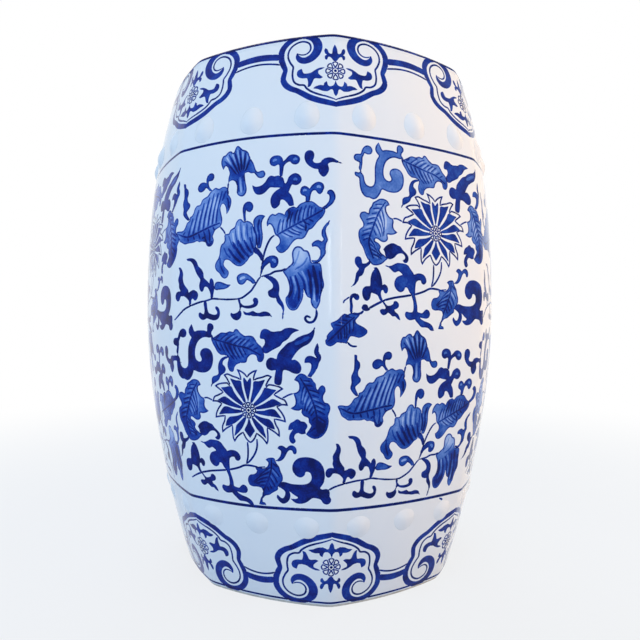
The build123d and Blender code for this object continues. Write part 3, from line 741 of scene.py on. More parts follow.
        (59.5, 314.5), (62.2, 316.5), (64.5, 318.4), (66.4, 321.5), (66.8, 324.5), (65.6, 327.6),
        (63.7, 329), (61.8, 328.4), (61, 326.5, 1), (62.5, 325.3), (62.9, 323), (62.2, 320.3),
        (60.2, 317.6), (57.5, 316.1, 1)
    ]),
    # pair of commas at the top right
    *leaf(0.84, [
        (47.5, 360.1), (49.8, 359.5), (51.2, 357.2), (51, 354.2), (50.2, 352.2), (51.4, 350.3),
        (53.7, 349.7), (56.4, 350.3), (57.5, 352.2), (59.8, 353.4), (62.9, 353.8), (65.6, 353),
        (68, 351.5), (72.5, 349.3, 1), (68, 349.9), (65.2, 350.5), (62.5, 349.9), (61.4, 348.4),
        (62.2, 344.9), (61, 341.5), (58.7, 339.3), (56.4, 340.7), (54.8, 343.4), (54.5, 345.3),
        (51.8, 345.8), (49.1, 347.2), (46.8, 349.2), (45.2, 351.5), (44.3, 354.5), (44.5, 357.6),
        (45.6, 359.3)
    ]),
    # pair of balls at the top
    *leaf(0.74, [
        (25.6, 341.5), (25.4, 345.3), (25.2, 349.2), (24.5, 350.7), (22.9, 350.5), (21.4, 349.7),
        (19.1, 350.3), (17.5, 352.2), (17.5, 355.3), (19.5, 357.2), (22.2, 357.8), (25.2, 357.2),
        (27.2, 354.9), (27.9, 352.8), (29.8, 354.2), (31.8, 356.5), (34.5, 357.6), (37.5, 357.2),
        (39.8, 355.7), (40.6, 353.4), (39.5, 350.7), (37.2, 349.9), (34.8, 350.7), (33.3, 352.4),
        (31.4, 352.1), (29.5, 350.7), (28.3, 348.8), (27.9, 345.3), (27.2, 341.1)
    ]),
    # bent leaf and its cluster of balls
    *leaf(0.78, [
        (4.1, 335.7, 1), (6.4, 334.4), (9.8, 334.5), (12.5, 335.7), (14.8, 338), (16.4, 340.7),
        (18.7, 342.1), (21.4, 341.3), (24.1, 341.8), (26.4, 341.1), (28.3, 339.2), (29.1, 336.1),
        (30.2, 335.3), (31.4, 336.8), (32.5, 339.9), (34.5, 341.8), (37.2, 342.8), (39.8, 341.8),
        (41.8, 339.2), (41.8, 336.5), (39.8, 334.3), (37.5, 333.9), (35.2, 334.5), (34.1, 333),
        (32.9, 329.9), (32.5, 328.4), (34.5, 326.1), (36, 322.2), (36.6, 318.4, 1), (33.7, 318),
        (32.2, 319.9), (29.8, 322.6), (27.5, 323.4), (26.2, 322.2), (26, 319.9), (24.5, 318),
        (22.2, 316.7), (20.2, 318), (19.1, 321.5), (19.2, 324.5), (20.6, 327.6), (22.9, 329.9),
        (24.8, 331.1), (26.4, 332.2), (24.8, 332.8), (21.4, 333), (18.7, 333.4), (16.8, 332.2),
        (14.5, 329.9), (11.8, 328.4), (8.7, 328.4), (6.4, 329.9), (4.8, 333)
    ]),
    # pair of balls on the right leaf
    *leaf(0.66, [
        (45.2, 320.7, 1), (45.6, 323.8), (44.5, 325.3), (42.5, 326.1), (41.4, 328.4), (42.2, 331.5),
        (44.5, 332.6), (46.8, 331.5), (48.3, 330.3), (49.8, 332.6), (52.2, 334.5), (54.8, 335.3),
        (57.5, 334.2), (58.7, 331.5), (57.9, 328.4), (56, 326.2), (54.1, 327.2), (52.9, 329), (51, 329.2),
        (49.5, 327.6), (48.7, 324.5), (48.3, 320.3, 1)
    ]),
    # light eyes of the balls
    *combed(-0.3, 1.8, [
        [(19.8, 353.2), (21.2, 354.6), (22.8, 354.2)], [(35.8, 353.2), (37.2, 354.4), (38.6, 353.4)],
        [(36.2, 337.6), (37.6, 338.6), (38.8, 337.4)],
    ]),
    *vein(-0.3, 1.6, [(43.6, 328.6), (44.6, 329.8), (45.8, 329.0)]),
    *vein(-0.3, 1.8, [(53.6, 331.2), (55.0, 332.2), (56.2, 330.8)]),
    # stems
    *stroke(0.97, 1.3, [
        (-21.8, 248.9), (-14.2, 248.5), (-6.5, 248.7), (-1.8, 249.9), (4.5, 254.5), (6.8, 257.6),
        (10.6, 263.4), (12.5, 265.3)
    ]),
    *stroke(0.97, 1.3, [
        (12.2, 265.3), (12.7, 268.5), (13.5, 272.2), (13.6, 277), (14.5, 281.5), (15.6, 285.3),
        (17.5, 290.3), (19.9, 294.2), (22.5, 296.2)
    ]),
    *stroke(0.97, 1.3, [
        (12.5, 265.3), (19, 266.8), (23, 268.8), (28.3, 269.5), (32, 270.7), (40, 269.8)
    ]),
    # two flames standing on the stem
    *leaf(0.86, [
        (-61.5, 275.3, 1), (-59.9, 275.2), (-58, 273), (-57, 269.9), (-57.2, 266.1), (-56.1, 262.2),
        (-53.8, 259.2), (-51.5, 256.8), (-50.7, 254.5), (-48, 256.1), (-45.7, 256.5), (-43, 255.3),
        (-41.5, 253), (-42.2, 249.9), (-44.2, 248.2), (-45.7, 249.5), (-47.2, 249.9), (-48.2, 248),
        (-48.4, 243.8, 1), (-50.3, 243.8, 1), (-50.2, 247.6), (-51.5, 249.5), (-54.2, 251.5),
        (-56.5, 252.2), (-59.2, 251.8), (-60.3, 249.2), (-62, 248), (-63.8, 249.5), (-64.5, 252.2),
        (-63.4, 254.9), (-61.1, 255.8), (-59.2, 256.1), (-60.7, 259.2), (-60.9, 262.2), (-61.8, 265.3),
        (-60.7, 269.2), (-60.3, 272.2)
    ]),
    *leaf(0.86, [
        (-53.4, 281.8, 1), (-50.7, 282.2), (-47.6, 282), (-44.9, 280.7), (-43, 278.4), (-41.5, 275.3),
        (-38.4, 272.6), (-36.6, 269.2), (-36.3, 266.1), (-34.2, 264.2), (-31.8, 262.2), (-30.7, 261.5),
        (-30.3, 263.8), (-29.2, 265.3), (-27.6, 263.8), (-26.8, 261.1), (-26.5, 256.8), (-27.2, 253),
        (-27.6, 249.3, 1), (-29.5, 249.3, 1), (-29.5, 253), (-30.7, 256.1), (-32.2, 258.4),
        (-34.2, 259.2), (-35.7, 258.4), (-36.5, 256.1), (-38, 255.2), (-39.5, 256.8), (-40.2, 259.9),
        (-39.2, 264.5), (-40.7, 266.8), (-43, 269.9), (-44.9, 273.8), (-46.8, 277.6), (-49.5, 280.1),
        (-51.8, 280.3)
    ]),
    *leaf(0.55, [
        (-26.5, 257.2, 1), (-25.7, 260.7), (-23.8, 262.2), (-21.1, 262.1), (-18, 261.1), (-14.9, 259.9),
        (-12.2, 259.7, 1), (-14.2, 258), (-17.2, 256.8), (-20.7, 256.5), (-24.2, 256.1)
    ]),
    # anchor sprig under the stem
    *leaf(0.92, [
        (-36.1, 247, 1), (-35.3, 243), (-34.9, 239.9), (-35.7, 237.2), (-37.6, 237.6), (-39.2, 238.5),
        (-40.3, 238), (-40.5, 235.7), (-38.4, 233.4), (-35.7, 233), (-33, 234.2), (-30.3, 233.4),
        (-26.5, 232.6), (-23.4, 233.4), (-21.5, 236.1), (-21.5, 239.9), (-23, 242.6), (-24.9, 243),
        (-24.9, 241.5), (-23.4, 239.2), (-23.8, 237.2), (-26.1, 236.5), (-29.2, 237.2), (-31.5, 238.4),
        (-32.6, 241.5), (-33, 244.5), (-33.4, 247.5, 1)
    ]),
    # curled sprig and wavy dash
    *leaf(0.9, [
        (-6.1, 248.5, 1), (-4.2, 248.8), (-4, 246.1), (-2.6, 244.5), (-0.9, 243.4), (2.9, 243.4),
        (6, 244.2), (7.2, 245.7), (6.4, 247.6), (7.5, 249.3), (9.5, 248.8), (10.4, 246.5), (9.5, 243.8),
        (6.8, 242.2), (2.9, 241.5), (-0.2, 241.9), (-2.8, 242.6), (-3.8, 239.9), (-3, 237.6),
        (-3.8, 234.5), (-6.5, 232.6), (-9.5, 233.4), (-11.8, 236.1), (-11.5, 238), (-9.9, 237.2),
        (-7.2, 237.8), (-5.1, 239.2), (-4.3, 242.2), (-4.8, 245.3)
    ]),
    *leaf(0.86, [
        (-1.3, 239.2, 1), (1.4, 238), (4.1, 238.5), (6.4, 239.3), (8.7, 238), (11.4, 237.8),
        (14.5, 238.8), (17.5, 238.5), (19.5, 237.2), (21, 234.9, 1), (19.1, 235.7), (16, 235.7),
        (12.9, 235.3), (9.8, 235.7), (6.8, 235.7), (4.5, 236.1), (1.4, 236.5), (-0.5, 237.2)
    ]),
    # comma over the stem
    *leaf(0.55, [
        (-6.8, 265.3), (-5.3, 267.2), (-2.6, 268.2), (0.5, 268), (3.7, 266.1), (6.4, 263.8), (8.3, 261.5),
        (7.5, 260.3, 1), (6, 260.3), (4.5, 261.8), (2.2, 263), (1.2, 263), (-0.3, 261.1), (-2.2, 259.8),
        (-4.5, 260.1), (-6.1, 261.8)
    ]),
    # knob beside the stalk
    *leaf(0.7, [
        (13.3, 276.1), (15.2, 278), (17.2, 279.9), (19.8, 280.7), (22.5, 280.7), (24.8, 279.2),
        (25.6, 276.5), (24.8, 273.4), (22.5, 271.6), (20.2, 272.2), (19.8, 274.2), (19.1, 275.7),
        (16.8, 274.2), (14.8, 272.2), (13.7, 269.2), (11.8, 265.3), (12.2, 269.9), (12.5, 273)
    ]),
    *vein(-0.3, 2.0, [(20.8, 277.6), (22.6, 277.4), (23.2, 275.4)]),
    *vein(-0.3, 1.8, [(-4.4, 263.6), (-2.4, 264.8), (0, 265.2)]),
    # long tail below the stem
    *leaf(0.86, [
        (14.5, 265.3, 1), (18.3, 265.8), (21.8, 264.5), (24.5, 262.2), (26, 259.2), (26.4, 255.3),
        (26, 251.8), (27.2, 248.4), (29.1, 245.3), (30.1, 241.5), (29.8, 236.8), (29.1, 232.4, 1),
        (28.7, 236.1), (29.1, 239.9), (27.9, 243), (26, 244.9), (24.8, 246.8), (24.1, 249.2),
        (22.5, 249.2), (19.8, 249.9), (18.3, 251.8), (18.3, 254.2), (20.2, 255.3), (21.8, 256.8),
        (21.8, 259.2), (20.2, 261.5), (17.5, 263.8)
    ]),
    # two-lobed leaf at the lower right
    *leaf(0.42, [
        (29.1, 268.8, 1), (32.2, 271.5), (35.2, 273.7), (36.4, 276.1), (36, 279.9), (36, 283),
        (37.5, 286.1), (39.8, 287.2), (42.5, 286.5), (44.6, 284.2), (46.8, 283.8), (48.3, 281.5),
        (49.1, 278.4), (49.6, 275.5), (51.4, 274.7), (54.5, 274.9), (56.4, 273.4), (57.2, 269.2),
        (57.5, 265.3), (58.5, 260.7), (58.7, 257.6), (57.5, 253.8), (56.4, 249.9), (56, 246.1),
        (54.5, 242.3), (53.3, 240.7, 1), (51, 242.6), (49.8, 245.3), (49.4, 248.6), (47.2, 249.9),
        (45.8, 252.4), (44.3, 255.5, 1), (43.7, 249.5), (42.8, 246.5), (41.4, 243.8), (39.8, 241.1),
        (37.5, 239.8), (34.8, 240.3), (32.8, 242.6), (31.5, 246.1), (31.5, 249.2), (33, 250.9), (34, 254),
        (34.2, 257), (33.5, 260.5), (32.3, 264), (30.5, 266.8)
    ], pools=[
        (37, 246, 8, 0.45), (53, 258, 8, 0.35), (50, 268, 6, 0.3), (42, 282, 9, -0.26),
        (37, 258, 6, 0.12),
    ]),
    *vein(0.32, 2.2, [(54, 246), (54, 256), (52.5, 265), (51, 273)]),
    *vein(0.3, 1.5, [(50, 248), (49.5, 256), (49, 263), (47.5, 270)]),
    *vein(0.25, 1.2, [(57, 252), (57, 260), (55.5, 269)]),
    *vein(-0.25, 1.2, [(52, 247), (51.8, 256), (50.7, 264)]),
    *combed(0.28, 1.4, [
        [(33.5, 249), (36, 256), (34.5, 265)], [(40.5, 247), (41.2, 255), (38, 266)],
    ]),
    *vein(-0.2, 1.3, [(36.8, 248), (38.6, 256), (36.4, 265)]),
    *vein(0.25, 1.3, [(45.5, 254), (44, 262), (40, 268)]),
    *vein(-0.18, 1.2, [(47.5, 252), (46.4, 261), (43, 269)]),
    *vein(0.2, 1.1, [(47, 279), (44, 274), (38, 270)]),
    *vein(0.15, 1.0, [(41, 284), (39.5, 278), (36.5, 272.5)]),
    # vine at the right edge
    *leaf(0.56, [
        (51.4, 274.9, 1), (49.8, 276.5), (53.7, 276.5), (55.6, 278.4), (56.4, 281.5), (56, 284.5),
        (54.5, 286.5), (52.5, 287.2), (50.6, 286.8, 1), (50.2, 288.8), (52.2, 290.7), (54.8, 291.5),
        (57.2, 290.3), (58.7, 292.2), (57.5, 294.5), (57.2, 297.6), (58.3, 300.7), (61, 304.2),
        (62.9, 306.1, 1), (62.2, 303.4), (60.6, 301.5), (59.8, 298.4), (60.6, 294.5), (61.4, 291.5),
        (60.2, 288.8), (59.8, 285.3), (59.8, 281.5), (57.5, 278), (56, 276.1), (54.5, 274.5, 1)
    ]),
]
leaf_spray += stroke(0.97, 1.3, [
    (-66, 232.8), (-63.8, 234.3), (-59.5, 238), (-54.9, 241.5), (-49.5, 243.8), (-44.9, 245.3),
    (-38.8, 247), (-33.4, 247.8), (-28, 249.3), (-21.8, 248.9), (-14.2, 248.5), (-6.5, 248.7),
])


# Curl at the end of the two-lobed leaf, only where the spray is in the upper half and so has room for it.
leaf_curl = stroke(0.95, 1.6, [
    (53.3, 240.7), (53.8, 237.5), (53, 234), (51.3, 231.5), (48.5, 230.8), (46.3, 232), (45.5, 234.2),
    (47, 235.5), (49.5, 234.3),
])

# Corner leaf: at the end of the lotus stem, wrapped over the corner, with a hooked sprig and a ball on it.
# The panels with the lotus in their lower half have no room for it. The small flame is on every lotus spray.
corner_leaf = leaf(0.58, [
    (-57.5, 238.3, 1), (-60, 236.5), (-62.5, 237.2), (-65, 235.3), (-67, 233), (-69.5, 231.5),
    (-72, 230.3), (-71.5, 228), (-70.5, 226), (-73, 223.5), (-74.8, 221), (-74.8, 219), (-76, 217.3),
    (-75.3, 214.7), (-72.5, 213.5), (-69.8, 214.8), (-67.5, 216.5), (-64.5, 216), (-62.2, 216),
    (-60.5, 215.5), (-59.7, 218), (-58, 220.8), (-55, 220.7), (-52, 219.8), (-48.5, 220.8), (-45.7, 223),
    (-45.5, 225), (-47.5, 226.8), (-51, 228.7), (-53.5, 230), (-54.5, 232.3), (-53, 234.5),
    (-51, 236.6, 1), (-54, 237.3), (-56.5, 238),
], rib=[(-55, 235), (-62, 229), (-69, 222), (-74, 217)], pairs=8, pools=[
    (-64, 226, 9, 0.22), (-50, 224, 5, 0.16), (-73, 217, 5, 0.2),
])
corner_leaf += stroke(0.95, 1.2, [(-60.5, 217), (-58.5, 214.5), (-56, 213.3), (-53, 213.3)])
corner_leaf += stroke(0.96, 1.5, [(-57, 237.8), (-53, 237.2), (-50, 238), (-48.5, 239.8)])
corner_leaf += leaf(0.86, [
    (-58, 237.5, 1), (-58.4, 240), (-58.3, 244), (-58.6, 247), (-58.4, 249.8), (-57.3, 251.5),
    (-55.3, 252.3), (-53.2, 252), (-51.9, 250.6), (-51.8, 248.8), (-53, 247.6), (-54.6, 248.2),
    (-55.9, 249.6), (-57, 248.6), (-57, 246), (-56.5, 243), (-56.9, 240), (-56.6, 237.5, 1),
], 0.6)
corner_leaf += stroke(0.9, 0.9, [(-58.2, 250), (-60.5, 248.6), (-62.8, 246.8), (-63.3, 245)])
corner_leaf += leaf(0.88, [
    (-49.6, 242.2), (-48.2, 244.2), (-45.8, 244), (-44.7, 242), (-43.2, 241), (-44.6, 239.9),
    (-47, 239.7), (-49, 240.6),
], 0.6)
corner_leaf += stroke(0.96, 1.5, [(-45, 241), (-40, 243.8), (-35, 246.3), (-31, 247.8)])
corner_flame = leaf(0.86, [
    (-54.8, 276), (-54.5, 278.6), (-52.8, 279.8), (-50.8, 279.2), (-49.8, 277), (-49.4, 274.8),
    (-47, 274.7), (-45, 275.8), (-43.7, 278.2, 1), (-42.6, 275.8, 1), (-45, 273.4), (-47.5, 271.3),
    (-48.4, 268.2), (-49.8, 266), (-51.8, 264.9), (-52.4, 262.5), (-54, 260), (-55.6, 258.4),
    (-57.8, 257.2, 1), (-55.4, 259.8), (-54.7, 262.2), (-54.2, 265), (-53.7, 267.6), (-52.4, 269.4),
    (-51.7, 271), (-53, 272.4), (-54.2, 274),
], 0.6)


def moved_spray(layers, old_middle, new_middle, turn, size=1.0, depth=1.0):
    """Spray as it is laid elsewhere on the glaze, a little turned, with paler or deeper washes."""
    moved = []
    for tone, line, kind in layers:
        across = (line[:, 0] * half_girth(line[:, 1]) / panel_edge - old_middle[0]) * size
        up = (line[:, 1] - old_middle[1]) * size
        new_across = new_middle[0] + across * math.cos(turn) - up * math.sin(turn)
        new_up = new_middle[1] + across * math.sin(turn) + up * math.cos(turn)
        laid = np.stack([new_across * panel_edge / half_girth(new_up), new_up], axis=1)
        moved.append((tone ** (1 / depth) if kind == "wash" else tone, laid, kind))
    return moved


# The sprays are laid on by hand, so each panel has them a little differently. Of every four panels, the
# first and third have the lotus in the upper half and the others in the lower half.
lotus_home = (0.5, 163.5)
leaf_home = (0.0, 300.0)
high_lotus = (14.9, 302.4)
high_turn = -0.017
lotus_spray += moved_spray(corner_flame, high_lotus, lotus_home, -high_turn)
paintings = []
for lotus_middle, lotus_turn, lotus_depth, scroll_wash, leaf_middle, leaf_turn, leaf_size, leaf_depth in (
    (high_lotus, high_turn, 0.9, 0.5, (-1.5, 156.7), -0.12, 0.98, 1.2),
    ((-0.8, 162.0), 0.015, 1.05, 0.8, (1.5, 301.5), -0.015, 1.0, 1.0),
    ((12.6, 298.8), -0.053, 1.0, 0.6, (1.7, 157.5), -0.107, 0.98, 1.1),
    (lotus_home, 0.0, 1.45, 0.84, leaf_home, 0.0, 1.0, 0.97),
):
    whole_lotus = leaf(scroll_wash, great_scroll) + lotus_spray
    painting = moved_spray(whole_lotus, lotus_home, lotus_middle, lotus_turn, 1.0, lotus_depth)
    painting += moved_spray(leaf_spray, leaf_home, leaf_middle, leaf_turn, leaf_size, leaf_depth)
    if lotus_middle[1] > belly_height:
        painting += moved_spray(corner_leaf, high_lotus, lotus_middle, lotus_turn - high_turn)
    else:
        painting += moved_spray(leaf_curl, leaf_home, leaf_middle, leaf_turn)
    paintings.append(painting)
paintings[0] += stroke(0.85, 1.5, [(38.3, 83.2), (40.6, 82.3), (43, 81)])

# Cloud heads: the border of scrolled heads over every corner, joined by bars, between the rim and the
# upper line and again, upside down, between the lower line and the foot.
head_half = band(0.8, [
    (-1, 396.2, 3.6), (7, 398.4, 4), (14.5, 400.8, 4.2), (21, 403.6, 4.2), (26.6, 407, 4),
    (31.2, 409.8, 3.8), (36.2, 412, 4), (40.8, 415.6, 4.3), (43.3, 420.5, 4.2), (42.6, 425.5, 3.8),
    (42, 429, 3.6), (44, 433.5, 4.2), (46, 438.5, 4.6), (46.6, 444, 5), (45.2, 449, 4.8), (41, 454, 4.6),
    (35, 457.2, 4.2), (27, 458.2, 3.8), (20, 456.4, 5), (15.8, 452.5, 6.4), (14.4, 447.5, 6.8),
    (15.8, 442.3, 6.4), (19.5, 438, 5.8), (24.5, 435.8, 5.2), (29, 436.6, 4.6), (31.8, 439.6, 3.2),
    (32.2, 443.2, 0.8),
], 1.12)
head_half += stroke(0.96, 1.35, [
    (-0.5, 400.1), (7, 403.2), (14, 405.6), (19.5, 408.2), (23.4, 411.2), (25.5, 414), (30, 414.8),
    (34, 417.8), (35.5, 423), (35.5, 428), (35.3, 431), (38, 435), (40.3, 440.5), (39.8, 446),
    (36.5, 450.5), (31, 453.2), (26, 453.2), (22, 451), (20.6, 447), (21.8, 443.5), (25, 441.3),
    (29, 441.3), (31.5, 442.5),
])
head_half += leaf(0.78, [
    (9, 428.2, 1), (13, 428), (17, 426.2), (20, 424.3), (24, 423.8), (26.5, 424.5), (28, 428.4, 1),
    (30.8, 427.2), (31.7, 424.5), (30.5, 421.8), (27, 420.3), (23.5, 420.2), (22.5, 418.5), (22, 415),
    (22.5, 412.2, 1), (20.5, 413), (19, 415.8), (17.6, 419), (15.5, 419.5), (12.5, 419), (10.5, 419.8, 1),
    (12.5, 421.5), (14.2, 423.5), (14, 426), (11.5, 427),
], 0.5)
cloud_head = mirrored(head_half)
cloud_head += leaf(0.78, both_halves([
    (0, 448.5, 1), (1.6, 444.5), (2.2, 440.5), (3.8, 440), (5.5, 441.3), (6.5, 444.2), (8, 445.3, 1),
    (8.8, 443.5), (8, 440.8), (6.6, 439.6), (8.3, 438.5), (8.2, 436), (7, 435.2, 1), (5.5, 437.8),
    (3.3, 437), (1.8, 434.8), (0, 432.8, 1),
]), 0.5)
cloud_head += leaf(0.78, both_halves([
    (0, 417, 1), (0.8, 413.5), (2.5, 411.8), (5, 411.5), (6.5, 413), (7.2, 416, 1), (9, 414.5),
    (9.5, 412.8), (12.5, 413), (15.5, 412.3), (17.8, 410.8, 1), (14, 410), (11, 408.5), (6.5, 407.8),
    (3.8, 409.3), (2, 408.5), (1.3, 405.5), (0, 403.5, 1),
]), 0.5)
cloud_head += rosette(np.array([0.0, 425.0]), 8, 3.0, 8.2, 2.9, 0.95)
head_bar = band(0.8, [
    (-24, 440.6, 5), (-12, 442.4, 5), (0, 443.2, 5.2), (12, 442.4, 5), (24, 440.6, 5),
], 1.12)
head_bar += stroke(0.96, 1.35, [(-25, 433.6), (-12, 436.4), (0, 437.4), (12, 436.4), (25, 433.6)])
upper_border = head_bar + shifted(cloud_head, -panel_edge) + shifted(cloud_head, panel_edge)

foot_mirror = 463.0


def at_foot(layers, left_spread, right_spread):
    """Border upside down at the foot, spread for the narrower panel."""
    turned = []
    for tone, line, kind in layers:
        across = line[:, 0] * np.where(line[:, 0] < 0, left_spread, right_spread)
        turned.append((tone, np.stack([across, foot_mirror - line[:, 1]], axis=1)[::-1], kind))
    return turned


lower_head = at_foot(cloud_head, 1.16, 1.05)
lower_border = shifted(at_foot(head_bar, 0.78, 0.78), -2.7)
lower_border += shifted(lower_head, -panel_edge - 0.7) + shifted(lower_head, panel_edge - 0.7)


def border_line(width, heights):
    """Hand-drawn line right across a panel, with its heights at even steps."""
    places = np.linspace(-panel_edge, panel_edge, len(heights))
    line = [(place, height, width) for place, height in zip(places, heights)]
    return band(0.98, [(-panel_edge - 4, heights[0], width), *line, (panel_edge + 4, heights[-1], width)])


borders = lower_border + upper_border
borders += border_line(1.6, [4.8, 4.8, 4.8])
borders += border_line(3.4, [457.8, 457.8, 457.8])
rising_lines = border_line(2.0, [373.8, 374.3, 374.3, 373.7, 373.0])
rising_lines += border_line(2.3, [84.7, 84.8, 85.2, 86.2, 87.0])
falling_lines = border_line(2.0, [373.0, 372.4, 372.3, 372.9, 373.8])
falling_lines += border_line(2.3, [87.0, 86.6, 86.2, 85.6, 84.7])


def clipped(line, low, high):
    """Part of an outline that lies on the sheet."""
    for axis, limit, keeps in ((0, -panel_edge, 1), (0, panel_edge, -1), (1, low, 1), (1, high, -1)):
        inside = (line[:, axis] - limit) * keeps
        kept = []
        for index in range(len(line)):
            here, there = inside[index - 1], inside[index]
            if (here >= 0) != (there >= 0):
                kept.append(line[index - 1] + (line[index] - line[index - 1]) * here / (here - there))
            if there >= 0:
                kept.append(line[index])
        if len(kept) < 3:
            return None
        line = np.array(kept)
    return line


runs_into = {"bleed": ("line", "vein"), "line": ("wash",)}
touching = 0.01
same_point = 1e-4


def cut_along(points, edges, layers):
    """Splits a sheet along painted outlines; gives its points, triangles and the tone at their corners."""
    points, edges = list(points), list(edges)
    for tone, line, kind in layers:
        if kind == "pool":
            continue
        first, count = len(points), len(line)
        points += list(line)
        edges += [(first + index, first + (index + 1) % count) for index in range(count)]
    cut = delaunay_2d_cdt([Vector(point) for point in points], edges, [], 0, same_point)
    sheet = np.array([tuple(point) for point in cut[0]])
    triangles = np.array(cut[2])
    middles = sheet[triangles].mean(axis=1)
    tones = np.zeros((len(triangles), 3))
    before, around = "", []
    for tone, line, kind in layers:
        if kind == "pool":
            away = np.linalg.norm(sheet[triangles[washed]] - line[0], axis=2)
            tones[washed] += tone * np.exp(-((away / np.linalg.norm(line[1] - line[0])) ** 2))
            continue
        low, high = line.min(axis=0), line.max(axis=0)
        near = np.flatnonzero(np.all((middles > low) & (middles < high), axis=1))
        turns = turns_round(line, middles[near])
        inside = near[turns > 0 if kind == "wash" else turns != 0]
        ring = []
        if tone and kind in runs_into.get(before, ()):
            ring = np.setdiff1d(around, inside).astype(int)
        if len(ring):
            gaps = np.linalg.norm(sheet[triangles[ring]][:, :, None] - line, axis=3).min(axis=2)
            deeper = tones[ring] + tone if kind == "vein" else tone
            tones[ring] = np.where(gaps < touching, deeper, tones[ring])
        if kind == "vein":
            tones[inside] += tone
        elif kind != "bleed":
            tones[inside] = tone
        if kind == "wash":
            washed = inside
        before, around = kind, inside
    return sheet, triangles, np.clip(tones, 0.0, 1.0).ravel()


def painted_sheet(low, high, rows, layers):
    """Flat sheet for one panel between two heights, cut along its painting."""
    half = [0, 4.5, 9, 13.5, 18, 22.5, 27, 31.5, 36, 40, 44, 48, 51, 53.5, 56, 58, 60, 62, 64, 66]
    half.append(panel_edge)
    columns = [-place for place in half[:0:-1]] + half
    points = [(across, up) for up in np.linspace(low, high, rows) for across in columns]
    last = len(points) - len(columns)
    edges = [(0, len(columns) - 1), (last, len(points) - 1), (0, last), (len(columns) - 1, len(points) - 1)]
    shown = []
    washed = False
    for tone, line, kind in layers:
        if kind == "pool":
            shows = washed
        else:
            line = clipped(line, low, high)
            shows = line is not None
        if kind == "wash":
            washed = shows
        if shows:
            shown.append((tone, line, kind))
    return cut_along(points, edges, shown)


def rim_of(sheet):
    """Points round the edge of a sheet, anticlockwise from its lower left corner."""
    (left, low), (right, high) = sheet.min(axis=0), sheet.max(axis=0)
    near = 1e-3
    bottom = np.flatnonzero(sheet[:, 1] < low + near)
    top = np.flatnonzero(sheet[:, 1] > high - near)
    starboard = np.flatnonzero(sheet[:, 0] > right - near)
    port = np.flatnonzero(sheet[:, 0] < left + near)
    round_edge = list(bottom[np.argsort(sheet[bottom, 0])])[:-1]
    round_edge += list(starboard[np.argsort(sheet[starboard, 1])])[:-1]
    round_edge += list(top[np.argsort(-sheet[top, 0])])[:-1]
    return round_edge + list(port[np.argsort(-sheet[port, 1])])[:-1]


def glazed_piece(name, places, faces, normals, tones, flat_map, finish):
    """Piece with its own normals, tone of cobalt and bake map at every face corner."""
    mesh = bpy.data.meshes.new(name)
    mesh.from_pydata(places * millimetre, [], faces, shade_flat=False)
    mesh.attributes.new("cobalt", "FLOAT", "CORNER").data.foreach_set("value", tones)
    mesh.uv_layers.new(name="OFBake").uv.foreach_set("vector", np.ravel(flat_map))
    mesh.normals_split_custom_set(normals)
    mesh.materials.append(finish)
    piece = bpy.data.objects.new(name, mesh)
    bpy.context.scene.collection.objects.link(piece)
    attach(piece, "root")
    return piece


def flat_normal(places, face):
    """Direction that one face looks."""
    first, second, third = places[face[0]], places[face[1]], places[face[2]]
    normal = np.cross(second - first, third - first)
    return normal / max(np.linalg.norm(normal), 1e-12)


glaze, glaze_tree, glaze_shader = new_finish("painted_glaze")
tone = glaze_tree.nodes.new("ShaderNodeAttribute")
tone.attribute_name = "cobalt"


def add_sum(tree, operation, first, second, third=None):
    """One step of arithmetic; a number is set on the node itself."""
    step = tree.nodes.new("ShaderNodeMath")
    step.operation = operation
    for place, value in enumerate((first, second, third)):
        if value is None:
            continue
        if isinstance(value, (int, float)):
            step.inputs[place].default_value = value
        else:
            tree.links.new(value, step.inputs[place])
    return step.outputs["Value"]


pooling = add_sum(glaze_tree, "MULTIPLY_ADD", add_noise(glaze_tree, 110.0, 4.0, 0.6), 0.95, 0.38)
streaks = add_sum(glaze_tree, "MULTIPLY_ADD", add_noise(glaze_tree, 700.0, 2.0, 0.5), 0.3, pooling)
clouding = add_sum(glaze_tree, "MULTIPLY", add_noise(glaze_tree, 18.0, 3.0, 0.6), 0.03)
strength = add_sum(glaze_tree, "MULTIPLY_ADD", tone.outputs["Fac"], streaks, clouding)
cobalt = add_ramp(glaze_tree, strength, [
    (0.0, (0.8, 0.84, 0.89)), (0.12, (0.58, 0.69, 0.88)), (0.3, (0.24, 0.38, 0.76)),
    (0.45, (0.08, 0.19, 0.57)), (0.6, (0.014, 0.078, 0.42)), (0.75, (0.002, 0.032, 0.3)),
    (0.9, (0.001, 0.014, 0.19)), (1.0, (0.001, 0.008, 0.1)),
])
glaze_tree.links.new(cobalt, glaze_shader.inputs["Base Color"])
glaze_shader.inputs["Roughness"].default_value = 0.07
glaze_shader.inputs["IOR"].default_value = 1.5
glaze_shader.inputs["Specular IOR Level"].default_value = 0.1
add_bump(glaze_tree, glaze_shader, add_noise(glaze_tree, 22.0, 2.0, 0.4), 0.35, 0.0012)

